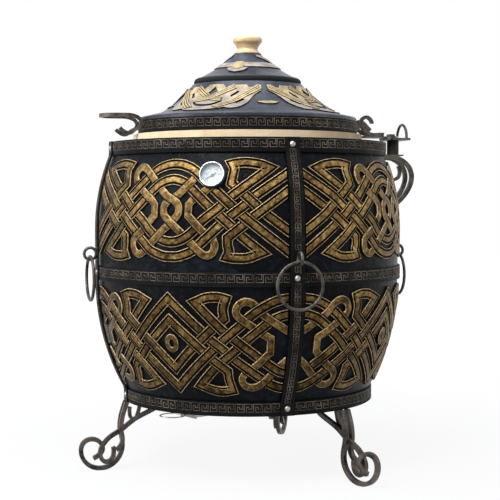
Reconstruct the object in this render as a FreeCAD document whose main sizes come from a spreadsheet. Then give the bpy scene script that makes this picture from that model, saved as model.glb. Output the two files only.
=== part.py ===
"""Electric tandoor: a hooped clay barrel on three forged legs, with a hinged clay lid.

Millimetres. Z is up, the floor is z = 0 and the barrel's axis is the Z axis.
A bearing is the angle round that axis, in degrees from +X towards +Y. The front is -Y.
Pieces away from the axis are drawn with X pointing outwards and are then turned to their bearing.
"""

import FreeCAD, Part
import math
import os
import Sketcher

doc = FreeCAD.newDocument("tandoor")
Vector = FreeCAD.Vector
OUTWARD = Vector(1, 0, 0)
ACROSS = Vector(0, 1, 0)
UP = Vector(0, 0, 1)

# ---------------------------------------------------------------- driving dimensions
DRIVING_SIZES = {
    # clay barrel
    "barrel_diameter": 650,      # over the middle hoop
    "base_height": 145,          # floor to the underside of the base plate
    "base_plate_thick": 5,
    "clay_floor_thick": 50,
    "foot_inset": 59.5,          # how far the barrel's foot is inside its belly
    "foot_step": 3,              # the wall stands out above the bottom hoop
    "foot_height": 175,
    "belly_low": 422,
    "belly_high": 507,
    "shoulder_inset": 30,
    "shoulder_low": 659,
    "shoulder_top": 688,
    "low_curve": 568,            # radius of the barrel's outline below the belly
    "high_curve": 400,           # and above it
    "neck_radius": 244,
    "neck_top": 704.3,
    "mouth_radius": 190,
    "inner_belly": 271,
    "inner_foot": 225,
    "inner_low": 407,
    "inner_high": 537,
    "inner_top": 670,
    "inner_low_curve": 489,
    "inner_high_curve": 150,
    "chute_radius": 40,          # crumb hole through the hearth
    "grate_radius": 50,
    "grate_rebate": 7,
    "grate_thick": 6,
    # hoops, straps and rivets
    "fit_gap": 0.1,
    "hoop_thick": 3.9,
    "hoop_width": 28,
    "middle_hoop_low": 402,
    "strap_thick": 2.8,
    "strap_width": 28,
    "strap_low_curve": 471,
    "front_bearing": -73,
    "right_bearing": 13,
    "rear_bearing": 107,
    "left_bearing": -163,
    "rivet_shank": 2.5,
    "rivet_head": 6,
    "rivet_dome": 3.2,
    "rivet_depth": 16,
    "top_rivet_height": 674,
    "middle_rivet_height": 418,
    "bottom_rivet_height": 159,
    # carrying rings
    "ring_radius": 45.3,         # to the middle of the bar
    "ring_bar": 3.2,             # radius of the bar
    "eyelet_radius": 12.4,
    "eyelet_bar": 3.1,
    "eyelet_height": 455.5,
    "eyelet_reach": 13,          # eyelet's middle from the strap's face
    "link_gap": 0.35,
    # lid
    "lid_gap": 0.3,
    "lid_radius": 229,
    "lid_lip_radius": 232.5,     # painted edge over the band
    "lid_wall_top": 740,
    "lid_foot_inner": 200,
    "lid_break_radius": 191,
    "lid_break_height": 749.5,
    "lid_curve": 170,
    "lid_inner_curve": 250,
    "lid_seat_radius": 118,
    "lid_seat_height": 811,
    "lid_seat_thick": 16,
    "vent_hole_radius": 86,
    # small lid over the vent hole, and its knob
    "spigot_radius": 83,
    "spigot_depth": 20,
    "spigot_wall": 23,
    "bead_radius": 113,
    "bead_height": 14,
    "bead_curve": 9,
    "cone_top_radius": 30,
    "cone_curve": 260,
    "knob_base_height": 876,
    "knob_plate_radius": 29.5,
    "knob_plate_thick": 2.5,
    "knob_height": 39,
    "knob_base_radius": 27,
    "knob_neck_radius": 21.3,
    "knob_head_radius": 31,
    "stud_radius": 4,
    "nut_across_flats": 13,
    "nut_height": 6.5,
    # forged bar work
    "bar_width": 9,
    "lid_bar_width": 7.5,
    "small_bar_width": 7,
    "handle_bearing": -167,
    "handle_spread": 35,
    "handle_reach": 279,
    "handle_height": 743,
    # lid hinge
    "lug_reach": 244.4,
    "lug_height": 728,
    "leaf_inner_end": 250,
    "leaf_thick": 3,
    "pin_reach": 311,
    "pin_height": 701.5,
    "pin_radius": 2.5,
    "pin_gap": 0.05,
    "knuckle_radius": 5,
    "knuckle_half": 8,
    "hinge_half_width": 25,
    "hinge_plate_thick": 5,
    "hinge_plate_half": 38,
    "hinge_plate_end": 356,
    "scroll_spread": 18,
    "bolt_reach": 336.5,
    "bolt_radius": 3,
    "bolt_across_flats": 10,
    "post_reach": 329,
    "post_radius": 13,
    "post_height": 31,
    "stop_reach": 350,
    "stop_radius": 30,
    "stop_bar": 3,
    "bracket_spread": 20,
    "bracket_plate_half": 20,
    "bracket_plate_thick": 3,
    "bracket_plate_end": 347,
    # legs
    "left_leg_bearing": -165,
    "right_leg_bearing": -45,
    "rear_leg_bearing": 75,
    "leg_top_reach": 266,
    "leg_ring_reach": 336,       # middle of the ring that each leg ends in
    "leg_ring_height": 35.5,
    "brace_top_reach": 189,
    # crumb tray
    "tray_bearing": -141.6,
    "tray_front": 170,
    "tray_back": 48,
    "tray_half_width": 40,
    "tray_bottom": 120,
    "tray_sheet": 1.5,
    "rail_height": 11.5,
    "rail_half_width": 49,
    "tray_flange": 5,
    "pull_ring_radius": 25.5,
    "pull_ring_wire": 1.5,
    # heater
    "heater_bearing": 90,
    "element_radius": 150,
    "element_tube": 4.25,
    "element_height": 222,
    "element_gap_angle": 12.5,
    "element_bend": 10,
    "element_end_height": 128,
    "bushing_radius": 11,
    "bushing_collar": 13,
    "box_inner_end": 80,
    "box_outer_end": 172,
    "box_half_width": 45,
    "box_height": 42,
    "box_sheet": 1.5,
    "gland_bore": 4.5,
    # thermometer
    "dial_bearing": -102.3,
    "dial_reach": 306.75,
    "dial_height": 612.9,
    "dial_tilt": 15.35,          # its face looks up by this angle, square to the wall
    "case_radius": 24.6,
    "case_depth": 15,
    "dial_radius": 20.8,
    "stem_radius": 3,
    "stem_length": 95,
    "pointer_rest": 240,         # clockwise from the top of the dial
}

sheet = doc.addObject("Spreadsheet::Sheet", "Sizes")
for row, (alias, size) in enumerate(DRIVING_SIZES.items(), start=1):
    sheet.set("A%d" % row, alias)
    sheet.set("B%d" % row, str(size))
    sheet.setAlias("B%d" % row, alias)
doc.recompute()


class Size:
    """A number together with the spreadsheet formula that gives it."""

    def __init__(self, value, formula=None):
        self.value = float(value)
        self.formula = formula or repr(float(value))

    def join(self, sign, other, value):
        return Size(value, "(%s %s %s)" % (self.formula, sign, other.formula))

    def __add__(self, other):
        other = as_size(other)
        return self.join("+", other, self.value + other.value)

    def __sub__(self, other):
        other = as_size(other)
        return self.join("-", other, self.value - other.value)

    def __mul__(self, other):
        other = as_size(other)
        return self.join("*", other, self.value * other.value)

    def __truediv__(self, other):
        other = as_size(other)
        return self.join("/", other, self.value / other.value)

    def __neg__(self):
        return Size(0) - self


def as_size(number):
    return number if isinstance(number, Size) else Size(number)


def cell(alias):
    """A driving dimension for sizes that are bound to the spreadsheet by an expression."""
    return Size(getattr(sheet, alias), "Sizes." + alias)


def mm(alias):
    """A driving dimension as a plain number, for shapes that are worked out in this file."""
    return float(getattr(sheet, alias))


belly = cell("barrel_diameter") / 2 - cell("hoop_thick") - cell("fit_gap")
foot = belly - cell("foot_inset")
shoulder = belly - cell("shoulder_inset")
base_top = cell("base_height") + cell("base_plate_thick")
hearth = base_top + cell("clay_floor_thick")
strap_lift = cell("hoop_thick") + cell("fit_gap") * 2
strap_face = belly + strap_lift + cell("strap_thick")
lid_rest = cell("neck_top") + cell("lid_gap")
band_radius = cell("lid_radius") + cell("fit_gap") + cell("hoop_thick")
pin_bore = cell("pin_radius") + cell("pin_gap")

parts = {}


# ---------------------------------------------------------------- ways of making a piece
def turned_to(bearing, x=0.0, z=0.0):
    """Placement of something moved out along X and up along Z, then turned about the barrel's axis."""
    turn = FreeCAD.Placement(Vector(0, 0, 0), FreeCAD.Rotation(UP, bearing))
    return turn * FreeCAD.Placement(Vector(x, 0, z), FreeCAD.Rotation())


def arc_centre(start, end, radius):
    """Centre of the short arc from start to end: to the left of the way for a positive radius."""
    half = (end - start) * 0.5
    side = Vector(-half.y, half.x, 0).normalize()
    rise = math.sqrt(radius * radius - half.Length ** 2)
    return start + half + side * math.copysign(rise, radius)


def add_side(sketch, start, end, radius):
    """Adds a straight side, or an arc when a radius is given. Returns its start and end vertices."""
    if radius is None:
        sketch.addGeometry(Part.LineSegment(start, end))
        return 1, 2
    centre = arc_centre(start, end, radius)
    first, last = (start, end) if radius > 0 else (end, start)
    low, high = [math.atan2(p.y - centre.y, p.x - centre.x) for p in (first, last)]
    sketch.addGeometry(Part.ArcOfCircle(Part.Circle(centre, UP, abs(radius)), low, high))
    return (1, 2) if radius > 0 else (2, 1)


def outline_sketch(body, corners):
    """Closed sketch in the XZ plane, every corner of it bound to the spreadsheet.

    A corner is (x, z), or (x, z, radius) where an arc leads to the next corner. The radius is
    positive when the arc's centre is to the left of the way.
    """
    sketch = body.newObject("Sketcher::SketchObject", body.Label + "_outline")
    plane = [f for f in body.Origin.OriginFeatures if f.Role == "XZ_Plane"][0]
    sketch.AttachmentSupport = [(plane, "")]
    sketch.MapMode = "FlatFace"
    points = [Vector(as_size(c[0]).value, as_size(c[1]).value, 0) for c in corners]
    following = points[1:] + points[:1]
    vertices = []
    for corner, start, end in zip(corners, points, following):
        radius = corner[2].value if len(corner) == 3 else None
        vertices.append(add_side(sketch, start, end, radius))

    def bind(constraint, size):
        index = sketch.addConstraint(constraint)
        sketch.setExpression("Constraints[%d]" % index, size.formula)

    for k, corner in enumerate(corners):
        start, end = vertices[k]
        after = (k + 1) % len(corners)
        sketch.addConstraint(Sketcher.Constraint("Coincident", k, end, after, vertices[after][0]))
        for kind, size in (("DistanceX", corner[0]), ("DistanceY", corner[1])):
            size = as_size(size)
            bind(Sketcher.Constraint(kind, -1, 1, k, start, size.value), size)
        if len(corner) == 3:
            radius = corner[2] if corner[2].value > 0 else -corner[2]
            bind(Sketcher.Constraint("Radius", k, radius.value), radius)
    return sketch


def turned(label, corners):
    """A piece turned about the Z axis from half its section."""
    body = doc.addObject("PartDesign::Body", label)
    sketch = outline_sketch(body, corners)
    turn = body.newObject("PartDesign::Revolution", label + "_turn")
    turn.Profile = sketch
    turn.ReferenceAxis = (sketch, ["V_Axis"])
    turn.Angle = 360
    doc.recompute()
    return body


def padded(label, corners, width):
    """A piece of even width across, padded from its side view."""
    body = doc.addObject("PartDesign::Body", label)
    sketch = outline_sketch(body, corners)
    pad = body.newObject("PartDesign::Pad", label + "_pad")
    pad.Profile = sketch
    pad.SideType = "Symmetric"
    pad.Length = width.value
    pad.setExpression("Length", width.formula)
    doc.recompute()
    return body


def primitive(kind, label, at, rotation=None, **sizes):
    """A Part primitive whose sizes and corner are bound to the spreadsheet."""
    solid = doc.addObject(kind, label)
    for name, size in sizes.items():
        setattr(solid, name, as_size(size).value)
        solid.setExpression(name, as_size(size).formula)
    base = [as_size(a) for a in at]
    turn = rotation or FreeCAD.Rotation()
    solid.Placement = FreeCAD.Placement(Vector(*[b.value for b in base]), turn)
    for axis, size in zip("xyz", base):
        solid.setExpression("Placement.Base." + axis, size.formula)
    return solid


def box(label, x, y, z):
    """A box between the two ends given on each axis."""
    (x0, x1), (y0, y1), (z0, z1) = [(as_size(low), as_size(high)) for low, high in (x, y, z)]
    sizes = {"Length": x1 - x0, "Width": y1 - y0, "Height": z1 - z0}
    return primitive("Part::Box", label, (x0, y0, z0), **sizes)


def upright(label, radius, low, high, x=0, y=0):
    """A cylinder along Z."""
    low, high = as_size(low), as_size(high)
    return primitive("Part::Cylinder", label, (x, y, low), Radius=radius, Height=high - low)


def lying_across(label, radius, low, high, x, z):
    """A cylinder along Y."""
    low, high = as_size(low), as_size(high)
    turn = FreeCAD.Rotation(OUTWARD, -90)
    return primitive("Part::Cylinder", label, (x, low, z), turn, Radius=radius, Height=high - low)


def lying_out(label, radius, low, high, z, y=0):
    """A cylinder along X."""
    low, high = as_size(low), as_size(high)
    turn = FreeCAD.Rotation(ACROSS, 90)
    return primitive("Part::Cylinder", label, (low, y, z), turn, Radius=radius, Height=high - low)


def hexagon(label, across_flats, low, high, x=0, rotation=None, z=None):
    """A hexagonal prism along Z, or along X when it is given a rotation."""
    low, high = as_size(low), as_size(high)
    at = (x, 0, low) if rotation is None else (low, 0, z)
    sizes = {"Circumradius": across_flats / math.sqrt(3), "Height": high - low}
    return primitive("Part::Prism", label, at, rotation, **sizes)


def cut(label, base, *tools):
    for step, tool in enumerate(tools, start=1):
        name = label if step == len(tools) else "%s_cut_%d" % (label, step)
        result = doc.addObject("Part::Cut", name)
        result.Base = base
        result.Tool = tool
        base = result
    return base


def fuse(label, *solids):
    result = doc.addObject("Part::MultiFuse", label)
    result.Shapes = list(solids)
    return result


def together(label, *solids):
    """Separate solids, or a single one, that are placed as one piece."""
    result = doc.addObject("Part::Compound", label)
    result.Links = list(solids)
    return result


def shaped(label, shape, placement=None):
    """An object for a shape that is worked out in this file."""
    feature = doc.addObject("Part::Feature", label)
    feature.Shape = shape
    if placement is not None:
        feature.Placement = placement
    return feature


def copies(label, shape, placements):
    """The same solid at each of several placements."""
    solids = []
    for placement in placements:
        solid = shape.copy()
        solid.Placement = placement
        solids.append(solid)
    return shaped(label, Part.Compound(solids))


def keep(label, piece, placement=None):
    """Makes an object one finished piece, turned to its place."""
    piece.Label = label
    if placement is not None:
        piece.Placement = placement
    parts[label] = piece


# ---------------------------------------------------------------- bent bar
OFFSETS_PER_SPAN = 6


def spline(points):
    curve = Part.BSplineCurve()
    curve.interpolate(points)
    return curve


def bent_bar(points, width, low, high):
    """Square bar bent in the XZ plane along points (x, z), filling Y from low to high."""
    middle = spline([Vector(x, low, z) for x, z in points])
    steps = OFFSETS_PER_SPAN * (len(points) - 1)
    start, length = middle.FirstParameter, middle.LastParameter - middle.FirstParameter
    left, right = [], []
    for k in range(steps + 1):
        parameter = start + length * k / steps
        along = middle.tangent(parameter)[0]
        across = Vector(-along.z, 0, along.x) * (width / 2)
        left.append(middle.value(parameter) + across)
        right.append(middle.value(parameter) - across)
    edges = [
        spline(left).toShape(),
        Part.makeLine(left[-1], right[-1]),
        spline(right[::-1]).toShape(),
        Part.makeLine(right[0], left[0]),
    ]
    return Part.Face(Part.Wire(edges)).extrude(Vector(0, high - low, 0))


def round_bar(points, radius):
    """Round bar along a smooth line through points."""
    curve = spline(points)
    section = Part.makeCircle(radius, points[0], curve.tangent(curve.FirstParameter)[0])
    return Part.Wire(curve.toShape()).makePipeShell([Part.Wire(section)], True, True)


def between(low, high):
    """All the space between two heights, for trimming bar ends flat."""
    reach = mm("barrel_diameter")
    return Part.makeBox(2 * reach, 2 * reach, high - low, Vector(-reach, -reach, low))


def beside(step, bar):
    """Y range of bar number step in a row of bars that lie side by side."""
    middle = step * (bar + mm("fit_gap"))
    return middle - bar / 2, middle + bar / 2


# ---------------------------------------------------------------- rivets through straps and hoops
def rivet_seats():
    """Placement of every strap rivet, with X pointing out of the strap's face."""
    lift = strap_lift + cell("strap_thick")
    levels = (
        (shoulder + lift, "top_rivet_height"),
        (belly + lift, "middle_rivet_height"),
        (foot + lift, "bottom_rivet_height"),
    )
    sides = ("front", "right", "rear", "left")
    return [
        turned_to(mm(side + "_bearing"), x=reach.value, z=mm(height))
        for side in sides
        for reach, height in levels
    ]


def make_rivet_holes():
    """Cutters for the rivet holes in straps, hoops and clay."""
    depth = mm("rivet_depth") + 0.5
    hole = Part.makeCylinder(
        mm("rivet_shank") + mm("fit_gap"), depth + 5, Vector(-depth, 0, 0), OUTWARD
    )
    return copies("rivet_holes", hole, rivet_seats())


def make_strap_rivets():
    """Dome-headed rivets that hold straps and hoops to the clay."""
    head, dome, depth = mm("rivet_head"), mm("rivet_dome"), mm("rivet_depth")
    ball = (head * head + dome * dome) / (2 * dome)
    cap = Part.makeSphere(ball, Vector(dome - ball, 0, 0))
    cap = cap.common(Part.makeBox(ball, 2 * ball, 2 * ball, Vector(0, -ball, -ball)))
    shank = Part.makeCylinder(mm("rivet_shank"), depth + 0.5, Vector(-depth, 0, 0), OUTWARD)
    keep("strap_rivets", copies("strap_rivets", cap.fuse(shank), rivet_seats()))


# ---------------------------------------------------------------- clay barrel, hoops and straps
def make_clay_body(rivet_holes):
    """Thick clay vessel: bulging wall, hearth with a crumb hole, and a neck round the mouth."""
    rebate = cell("grate_radius") + 0.5
    rebate_floor = hearth - cell("grate_rebate")
    vessel = turned("clay_vessel", [
        (cell("chute_radius"), base_top),
        (foot, base_top),
        (foot, cell("foot_height")),
        (foot + cell("foot_step"), cell("foot_height"), cell("low_curve")),
        (belly, cell("belly_low")),
        (belly, cell("belly_high"), cell("high_curve")),
        (shoulder, cell("shoulder_low")),
        (shoulder, cell("shoulder_top")),
        (cell("neck_radius"), cell("shoulder_top")),
        (cell("neck_radius"), cell("neck_top")),
        (cell("mouth_radius"), cell("neck_top")),
        (cell("mouth_radius"), cell("inner_top"), -cell("inner_high_curve")),
        (cell("inner_belly"), cell("inner_high")),
        (cell("inner_belly"), cell("inner_low"), -cell("inner_low_curve")),
        (cell("inner_foot"), hearth),
        (rebate, hearth),
        (rebate, rebate_floor),
        (cell("chute_radius"), rebate_floor),
    ])
    length = mm("stem_length")
    stem_hole = Part.makeCylinder(mm("stem_radius") + 0.3, 2 * length, Vector(0, 0, -length))
    holes = (
        rivet_holes,
        bushing_holes("clay_bushing_holes"),
        shaped("stem_hole", stem_hole, dial_placement()),
    )
    keep("clay_body", cut("clay_body", vessel, *holes))


def make_hoops(rivet_holes):
    """Embossed steel hoops round the foot, the belly and the shoulder."""
    hoops = (
        ("bottom_hoop", foot, cell("base_height")),
        ("middle_hoop", belly, cell("middle_hoop_low")),
        ("top_hoop", shoulder, cell("shoulder_low") + 0.5),
    )
    for label, seat, low in hoops:
        inner = seat + cell("fit_gap")
        outer = inner + cell("hoop_thick")
        high = low + cell("hoop_width")
        blank = turned(label + "_blank", [(inner, low), (outer, low), (outer, high), (inner, high)])
        keep(label, cut(label, blank, rivet_holes))


def make_straps(rivet_holes):
    """Upright straps bent over the three hoops, from the foot to the top of the shoulder."""
    inner = strap_lift
    outer = strap_lift + cell("strap_thick")
    low_curve, high_curve = cell("strap_low_curve"), cell("high_curve")
    low, top = cell("base_height"), cell("shoulder_top")
    bend = low + cell("hoop_width")
    side_view = [
        (foot + outer, low),
        (foot + outer, bend, low_curve),
        (belly + outer, cell("middle_hoop_low")),
        (belly + outer, cell("belly_high"), high_curve),
        (shoulder + outer, cell("shoulder_low")),
        (shoulder + outer, top),
        (shoulder + inner, top),
        (shoulder + inner, cell("shoulder_low"), -high_curve),
        (belly + inner, cell("belly_high")),
        (belly + inner, cell("middle_hoop_low"), -low_curve),
        (foot + inner, bend),
        (foot + inner, low),
    ]
    blanks = []
    for side in ("front", "right", "rear", "left"):
        blank = padded("strap_" + side, side_view, cell("strap_width"))
        blank.Placement = turned_to(mm(side + "_bearing"))
        blanks.append(blank)
    keep("hoop_straps", cut("hoop_straps", fuse("strap_blanks", *blanks), rivet_holes))


def make_base_plate():
    """Steel plate that carries the clay and that the legs are welded to."""
    plate = turned("base_plate_blank", [
        (cell("chute_radius"), cell("base_height")),
        (foot, cell("base_height")),
        (foot, base_top),
        (cell("chute_radius"), base_top),
    ])
    keep("base_plate", cut("base_plate", plate, bushing_holes("base_bushing_holes")))


def make_carrying_rings():
    """Forged rings that hang in eyelets on the straps."""
    eyelet_reach = strap_face + cell("eyelet_reach")
    bottom_of_eye = cell("eyelet_height") - cell("eyelet_radius") + cell("eyelet_bar")
    pivot_height = bottom_of_eye + cell("link_gap") + cell("ring_bar")
    eye = primitive(
        "Part::Torus", "eyelet_blank", (eyelet_reach, 0, cell("eyelet_height")),
        FreeCAD.Rotation(OUTWARD, 90),
        Radius1=cell("eyelet_radius"), Radius2=cell("eyelet_bar"),
    )
    wall = box("eyelet_wall", (0, strap_face + cell("fit_gap") / 2), (-50, 50), (400, 500))
    eyelet = cut("eyelet", eye, wall)
    doc.recompute()
    places = [turned_to(mm(side + "_bearing")) for side in ("front", "right", "rear", "left")]
    keep("ring_eyelets", copies("ring_eyelets", eyelet.Shape, places))
    for side in ("front", "right", "rear", "left"):
        label = "carrying_ring_" + side
        ring = primitive(
            "Part::Torus", label + "_bar", (eyelet_reach, 0, pivot_height - cell("ring_radius")),
            FreeCAD.Rotation(ACROSS, 90),
            Radius1=cell("ring_radius"), Radius2=cell("ring_bar"),
        )
        keep(label, together(label, ring), turned_to(mm(side + "_bearing")))


# ---------------------------------------------------------------- lid and small vent lid
def make_lid():
    """Clay lid: an upright rim inside a steel band, under a hollow-sided cone with a vent hole."""
    seat = cell("lid_seat_height")
    under_seat = seat - cell("lid_seat_thick")
    vent = cell("vent_hole_radius")
    lid_lip = lid_rest + cell("hoop_width") + cell("fit_gap")
    shell = turned("lid_shell", [
        (cell("lid_foot_inner"), lid_rest),
        (cell("lid_radius"), lid_rest),
        (cell("lid_radius"), lid_lip),
        (cell("lid_lip_radius"), lid_lip),
        (cell("lid_lip_radius"), cell("lid_wall_top") - 2, Size(4)),
        (cell("lid_radius"), cell("lid_wall_top") + 0.8),
        (cell("lid_break_radius"), cell("lid_break_height"), -cell("lid_curve")),
        (cell("lid_seat_radius"), seat),
        (vent, seat),
        (vent, under_seat),
        (vent + 10, under_seat, cell("lid_inner_curve")),
    ])
    keep("lid_shell", shell)
    inner = cell("lid_radius") + cell("fit_gap")
    top = lid_rest + cell("hoop_width")
    band = [(inner, lid_rest), (band_radius, lid_rest), (band_radius, top), (inner, top)]
    keep("lid_band", turned("lid_band", band))


def make_vent_lid():
    """Small clay lid with a spigot, and a turned wooden knob bolted through it."""
    low = cell("lid_seat_height") + cell("lid_gap")
    bead_top = low + cell("bead_height")
    cone_top = cell("knob_base_height")
    bore = cell("stud_radius") + cell("fit_gap")
    hollow = low + 9
    keep("vent_lid", turned("vent_lid", [
        (bore, hollow),
        (cell("spigot_radius") - cell("spigot_wall"), hollow),
        (cell("spigot_radius") - cell("spigot_wall"), low - cell("spigot_depth")),
        (cell("spigot_radius"), low - cell("spigot_depth")),
        (cell("spigot_radius"), low),
        (cell("bead_radius"), low, cell("bead_curve")),
        (cell("bead_radius") - 8, bead_top, -cell("cone_curve")),
        (cell("cone_top_radius"), cone_top),
        (bore, cone_top),
    ]))

    plate_top = cone_top + cell("knob_plate_thick")
    plate = [
        (bore, cone_top),
        (cell("knob_plate_radius"), cone_top),
        (cell("knob_plate_radius"), plate_top),
        (bore, plate_top),
    ]
    keep("knob_plate", turned("knob_plate", plate))

    knob_top = plate_top + cell("knob_height")
    neck, head = cell("knob_neck_radius"), cell("knob_head_radius")
    bore_top = plate_top + 20.5
    keep("knob", turned("knob", [
        (bore, plate_top),
        (cell("knob_base_radius"), plate_top),
        (cell("knob_base_radius"), plate_top + 2.5, Size(-11)),
        (neck, plate_top + 10, Size(-34)),
        (head - 1.8, plate_top + 23, Size(8)),
        (head, plate_top + 28),
        (head, plate_top + 30.5, Size(8)),
        (head - 6.5, plate_top + 36.8, Size(70)),
        (3, knob_top),
        (0, knob_top),
        (0, bore_top),
        (bore, bore_top),
    ]))

    nut_low = hollow - cell("nut_height")
    stud = upright("knob_stud", cell("stud_radius"), nut_low - 2, bore_top - 0.5)
    keep("knob_stud", stud)
    nut = hexagon("knob_nut_blank", cell("nut_across_flats"), nut_low, hollow)
    nut_bore = upright("knob_nut_bore", cell("stud_radius") + 0.05, nut_low - 1, hollow + 1)
    keep("knob_nut", cut("knob_nut", nut, nut_bore))


def make_lid_handle():
    """Hairpin handle of square bar, its two ends curled down beside the lid's band."""
    bar, spread = mm("lid_bar_width"), mm("handle_spread")
    reach, height = mm("handle_reach"), mm("handle_height")
    rim = band_radius.value
    side_view = [
        (reach + 0.02, height),
        (rim + 28, height),
        (rim + 12.5, height - 3),
        (rim + 3.2, height - 9.5),
        (rim + 0.6, height - 17),
        (rim + 3.4, height - 23.5),
        (rim + 9, height - 27.5),
        (rim + 15.5, height - 31.2),
        (rim + 20.2, height - 35.5),
        (rim + 26, height - 37.7),
        (rim + 34, height - 36),
        (reach, height - 27),
    ]
    low, high = spread - bar / 2, spread + bar / 2
    level = height - bar / 2
    bow = Part.makeCylinder(high, bar, Vector(reach, 0, level), UP, 180)
    bow = bow.cut(Part.makeCylinder(low, 3 * bar, Vector(reach, 0, level - bar)))
    bow.rotate(Vector(reach, 0, level), UP, -90)
    handle = bow.fuse([bent_bar(side_view, bar, low, high), bent_bar(side_view, bar, -high, -low)])
    handle = handle.cut(parts["lid_band"].Shape).removeSplitter()
    keep("lid_handle", shaped("lid_handle", handle, turned_to(mm("handle_bearing"))))


# ---------------------------------------------------------------- lid hinge
def hinge_placement():
    return turned_to(mm("right_bearing"))


def make_hinge_leaf_side():
    """The lid's half of the hinge: a lug on the band, two scrolled bars and the leaf."""
    half = cell("hinge_half_width")
    lug = box(
        "lug_blank", (cell("lid_radius") - 10, cell("lug_reach")), (-half, half),
        (cell("lug_height") - 9, cell("lug_height") + 9),
    )
    inside = upright("lug_inside", band_radius, 700, 760)
    keep("lid_hinge_lug", cut("lid_hinge_lug", lug, inside), hinge_placement())

    leaf_low = cell("pin_height") + 1
    leaf_high = leaf_low + cell("leaf_thick")
    pin, knuckle = cell("pin_reach"), cell("knuckle_radius")
    leaf = fuse(
        "leaf_blank",
        box("leaf_plate", (cell("leaf_inner_end"), pin - 5.5), (-half, half), (leaf_low, leaf_high)),
        box("leaf_tongue", (pin - 8, pin), (-cell("knuckle_half"), cell("knuckle_half")),
            (leaf_low, leaf_high)),
        lying_across("leaf_knuckle", knuckle, -cell("knuckle_half"), cell("knuckle_half"),
                     pin, cell("pin_height")),
    )
    bore = lying_across("leaf_bore", pin_bore, -half, half, pin, cell("pin_height"))
    keep("hinge_leaf", cut("hinge_leaf", leaf, bore), hinge_placement())

    bar = mm("lid_bar_width")
    level = leaf_high.value + bar / 2
    lug_side = mm("lug_reach") + bar / 2 + 0.1
    front = [
        (pin.value - 10, level), (pin.value - 26, level), (lug_side + 22.5, level + 0.5),
        (lug_side + 12.5, level + 5.5), (lug_side + 4, level + 14.5), (lug_side, level + 24),
        (lug_side + 4, level + 33.5), (lug_side + 12.5, level + 37.5),
        (lug_side + 20.5, level + 34), (lug_side + 25.5, level + 23.5),
    ]
    rear = [
        (pin.value - 10, level), (pin.value - 28, level), (lug_side + 16.5, level + 4.5),
        (lug_side + 4.5, level + 13), (lug_side, level + 21.5), (lug_side + 5, level + 29),
        (lug_side + 14.5, level + 28.5), (lug_side + 24.5, level + 20.5),
        (lug_side + 34.5, level + 11),
    ]
    spread = mm("scroll_spread")
    for label, path, middle in (
        ("lid_scroll_front", front, -spread),
        ("lid_scroll_rear", rear, spread),
    ):
        shape = bent_bar(path, bar, middle - bar / 2, middle + bar / 2)
        shape = shape.common(between(leaf_high.value, leaf_high.value + 100))
        keep(label, shaped(label, shape, hinge_placement()))


def make_hinge_base_side():
    """The barrel's half of the hinge: plate, pin, clamp block, bolt and the hoop that stops the lid."""
    pin, pin_height = cell("pin_reach"), cell("pin_height")
    top = pin_height + 0.5
    low = top - cell("hinge_plate_thick")
    half, inner = cell("hinge_half_width"), cell("knuckle_half") + 0.3
    pieces = [box("hinge_plate_blank", (pin + 6, cell("hinge_plate_end")),
                  (-cell("hinge_plate_half"), cell("hinge_plate_half")), (low, top))]
    for side, (near, far) in (("front", (-half, -inner)), ("rear", (inner, half))):
        pieces.append(box("hinge_tongue_" + side, (pin, pin + 8), (near, far), (low, top)))
        pieces.append(lying_across(
            "hinge_knuckle_" + side, cell("knuckle_radius"), near, far, pin, pin_height
        ))
    keep("hinge_base_plate", cut(
        "hinge_base_plate", fuse("hinge_plate_blanks", *pieces),
        lying_across("hinge_plate_bore", pin_bore, -half - 1, half + 1, pin, pin_height),
        upright("hinge_plate_bolt_hole", cell("bolt_radius") + 0.1, 600, 800, cell("bolt_reach")),
    ), hinge_placement())

    end = half + 0.5
    keep("hinge_pin", fuse(
        "hinge_pin",
        lying_across("pin_shank", cell("pin_radius"), -end, end, pin, pin_height),
        lying_across("pin_head_front", cell("pin_radius") + 1.3, -end - 1.5, -end, pin, pin_height),
        lying_across("pin_head_rear", cell("pin_radius") + 1.3, end, end + 1.5, pin, pin_height),
    ), hinge_placement())

    block = box("clamp_block", (pin + 6.5, pin + 19), (-10, 10), (top, top + 9))
    keep("hinge_clamp_block", together("hinge_clamp_block", block), hinge_placement())

    post_low = low - cell("post_height")
    keep("hinge_plate_bolt", fuse(
        "hinge_plate_bolt",
        hexagon("bolt_head", cell("bolt_across_flats"), top, top + 5.5, cell("bolt_reach")),
        upright("bolt_shank", cell("bolt_radius"), post_low + 4, top + 1, cell("bolt_reach")),
    ), hinge_placement())
    keep("hinge_post", cut(
        "hinge_post",
        upright("post_blank", cell("post_radius"), post_low, low, cell("post_reach")),
        upright("post_bore", cell("bolt_radius") + 0.05, post_low + 3.5, low + 1, cell("bolt_reach")),
    ), hinge_placement())

    stop = primitive(
        "Part::Torus", "stop_bow", (cell("stop_reach"), 0, top), FreeCAD.Rotation(ACROSS, 90),
        Radius1=cell("stop_radius"), Radius2=cell("stop_bar"),
    )
    below = box("stop_below", (300, 400), (-60, 60), (600, top))
    keep("lid_stop_hoop", cut("lid_stop_hoop", stop, below), hinge_placement())

    plate_low = post_low - cell("bracket_plate_thick")
    strap_top_face = shoulder + strap_lift + cell("strap_thick") + 0.05
    plate = box("bracket_plate", (strap_top_face, cell("bracket_plate_end")),
                (-cell("bracket_plate_half"), cell("bracket_plate_half")), (plate_low, post_low))
    keep("hinge_lower_plate", together("hinge_lower_plate", plate), hinge_placement())
    return plate_low.value


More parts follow.
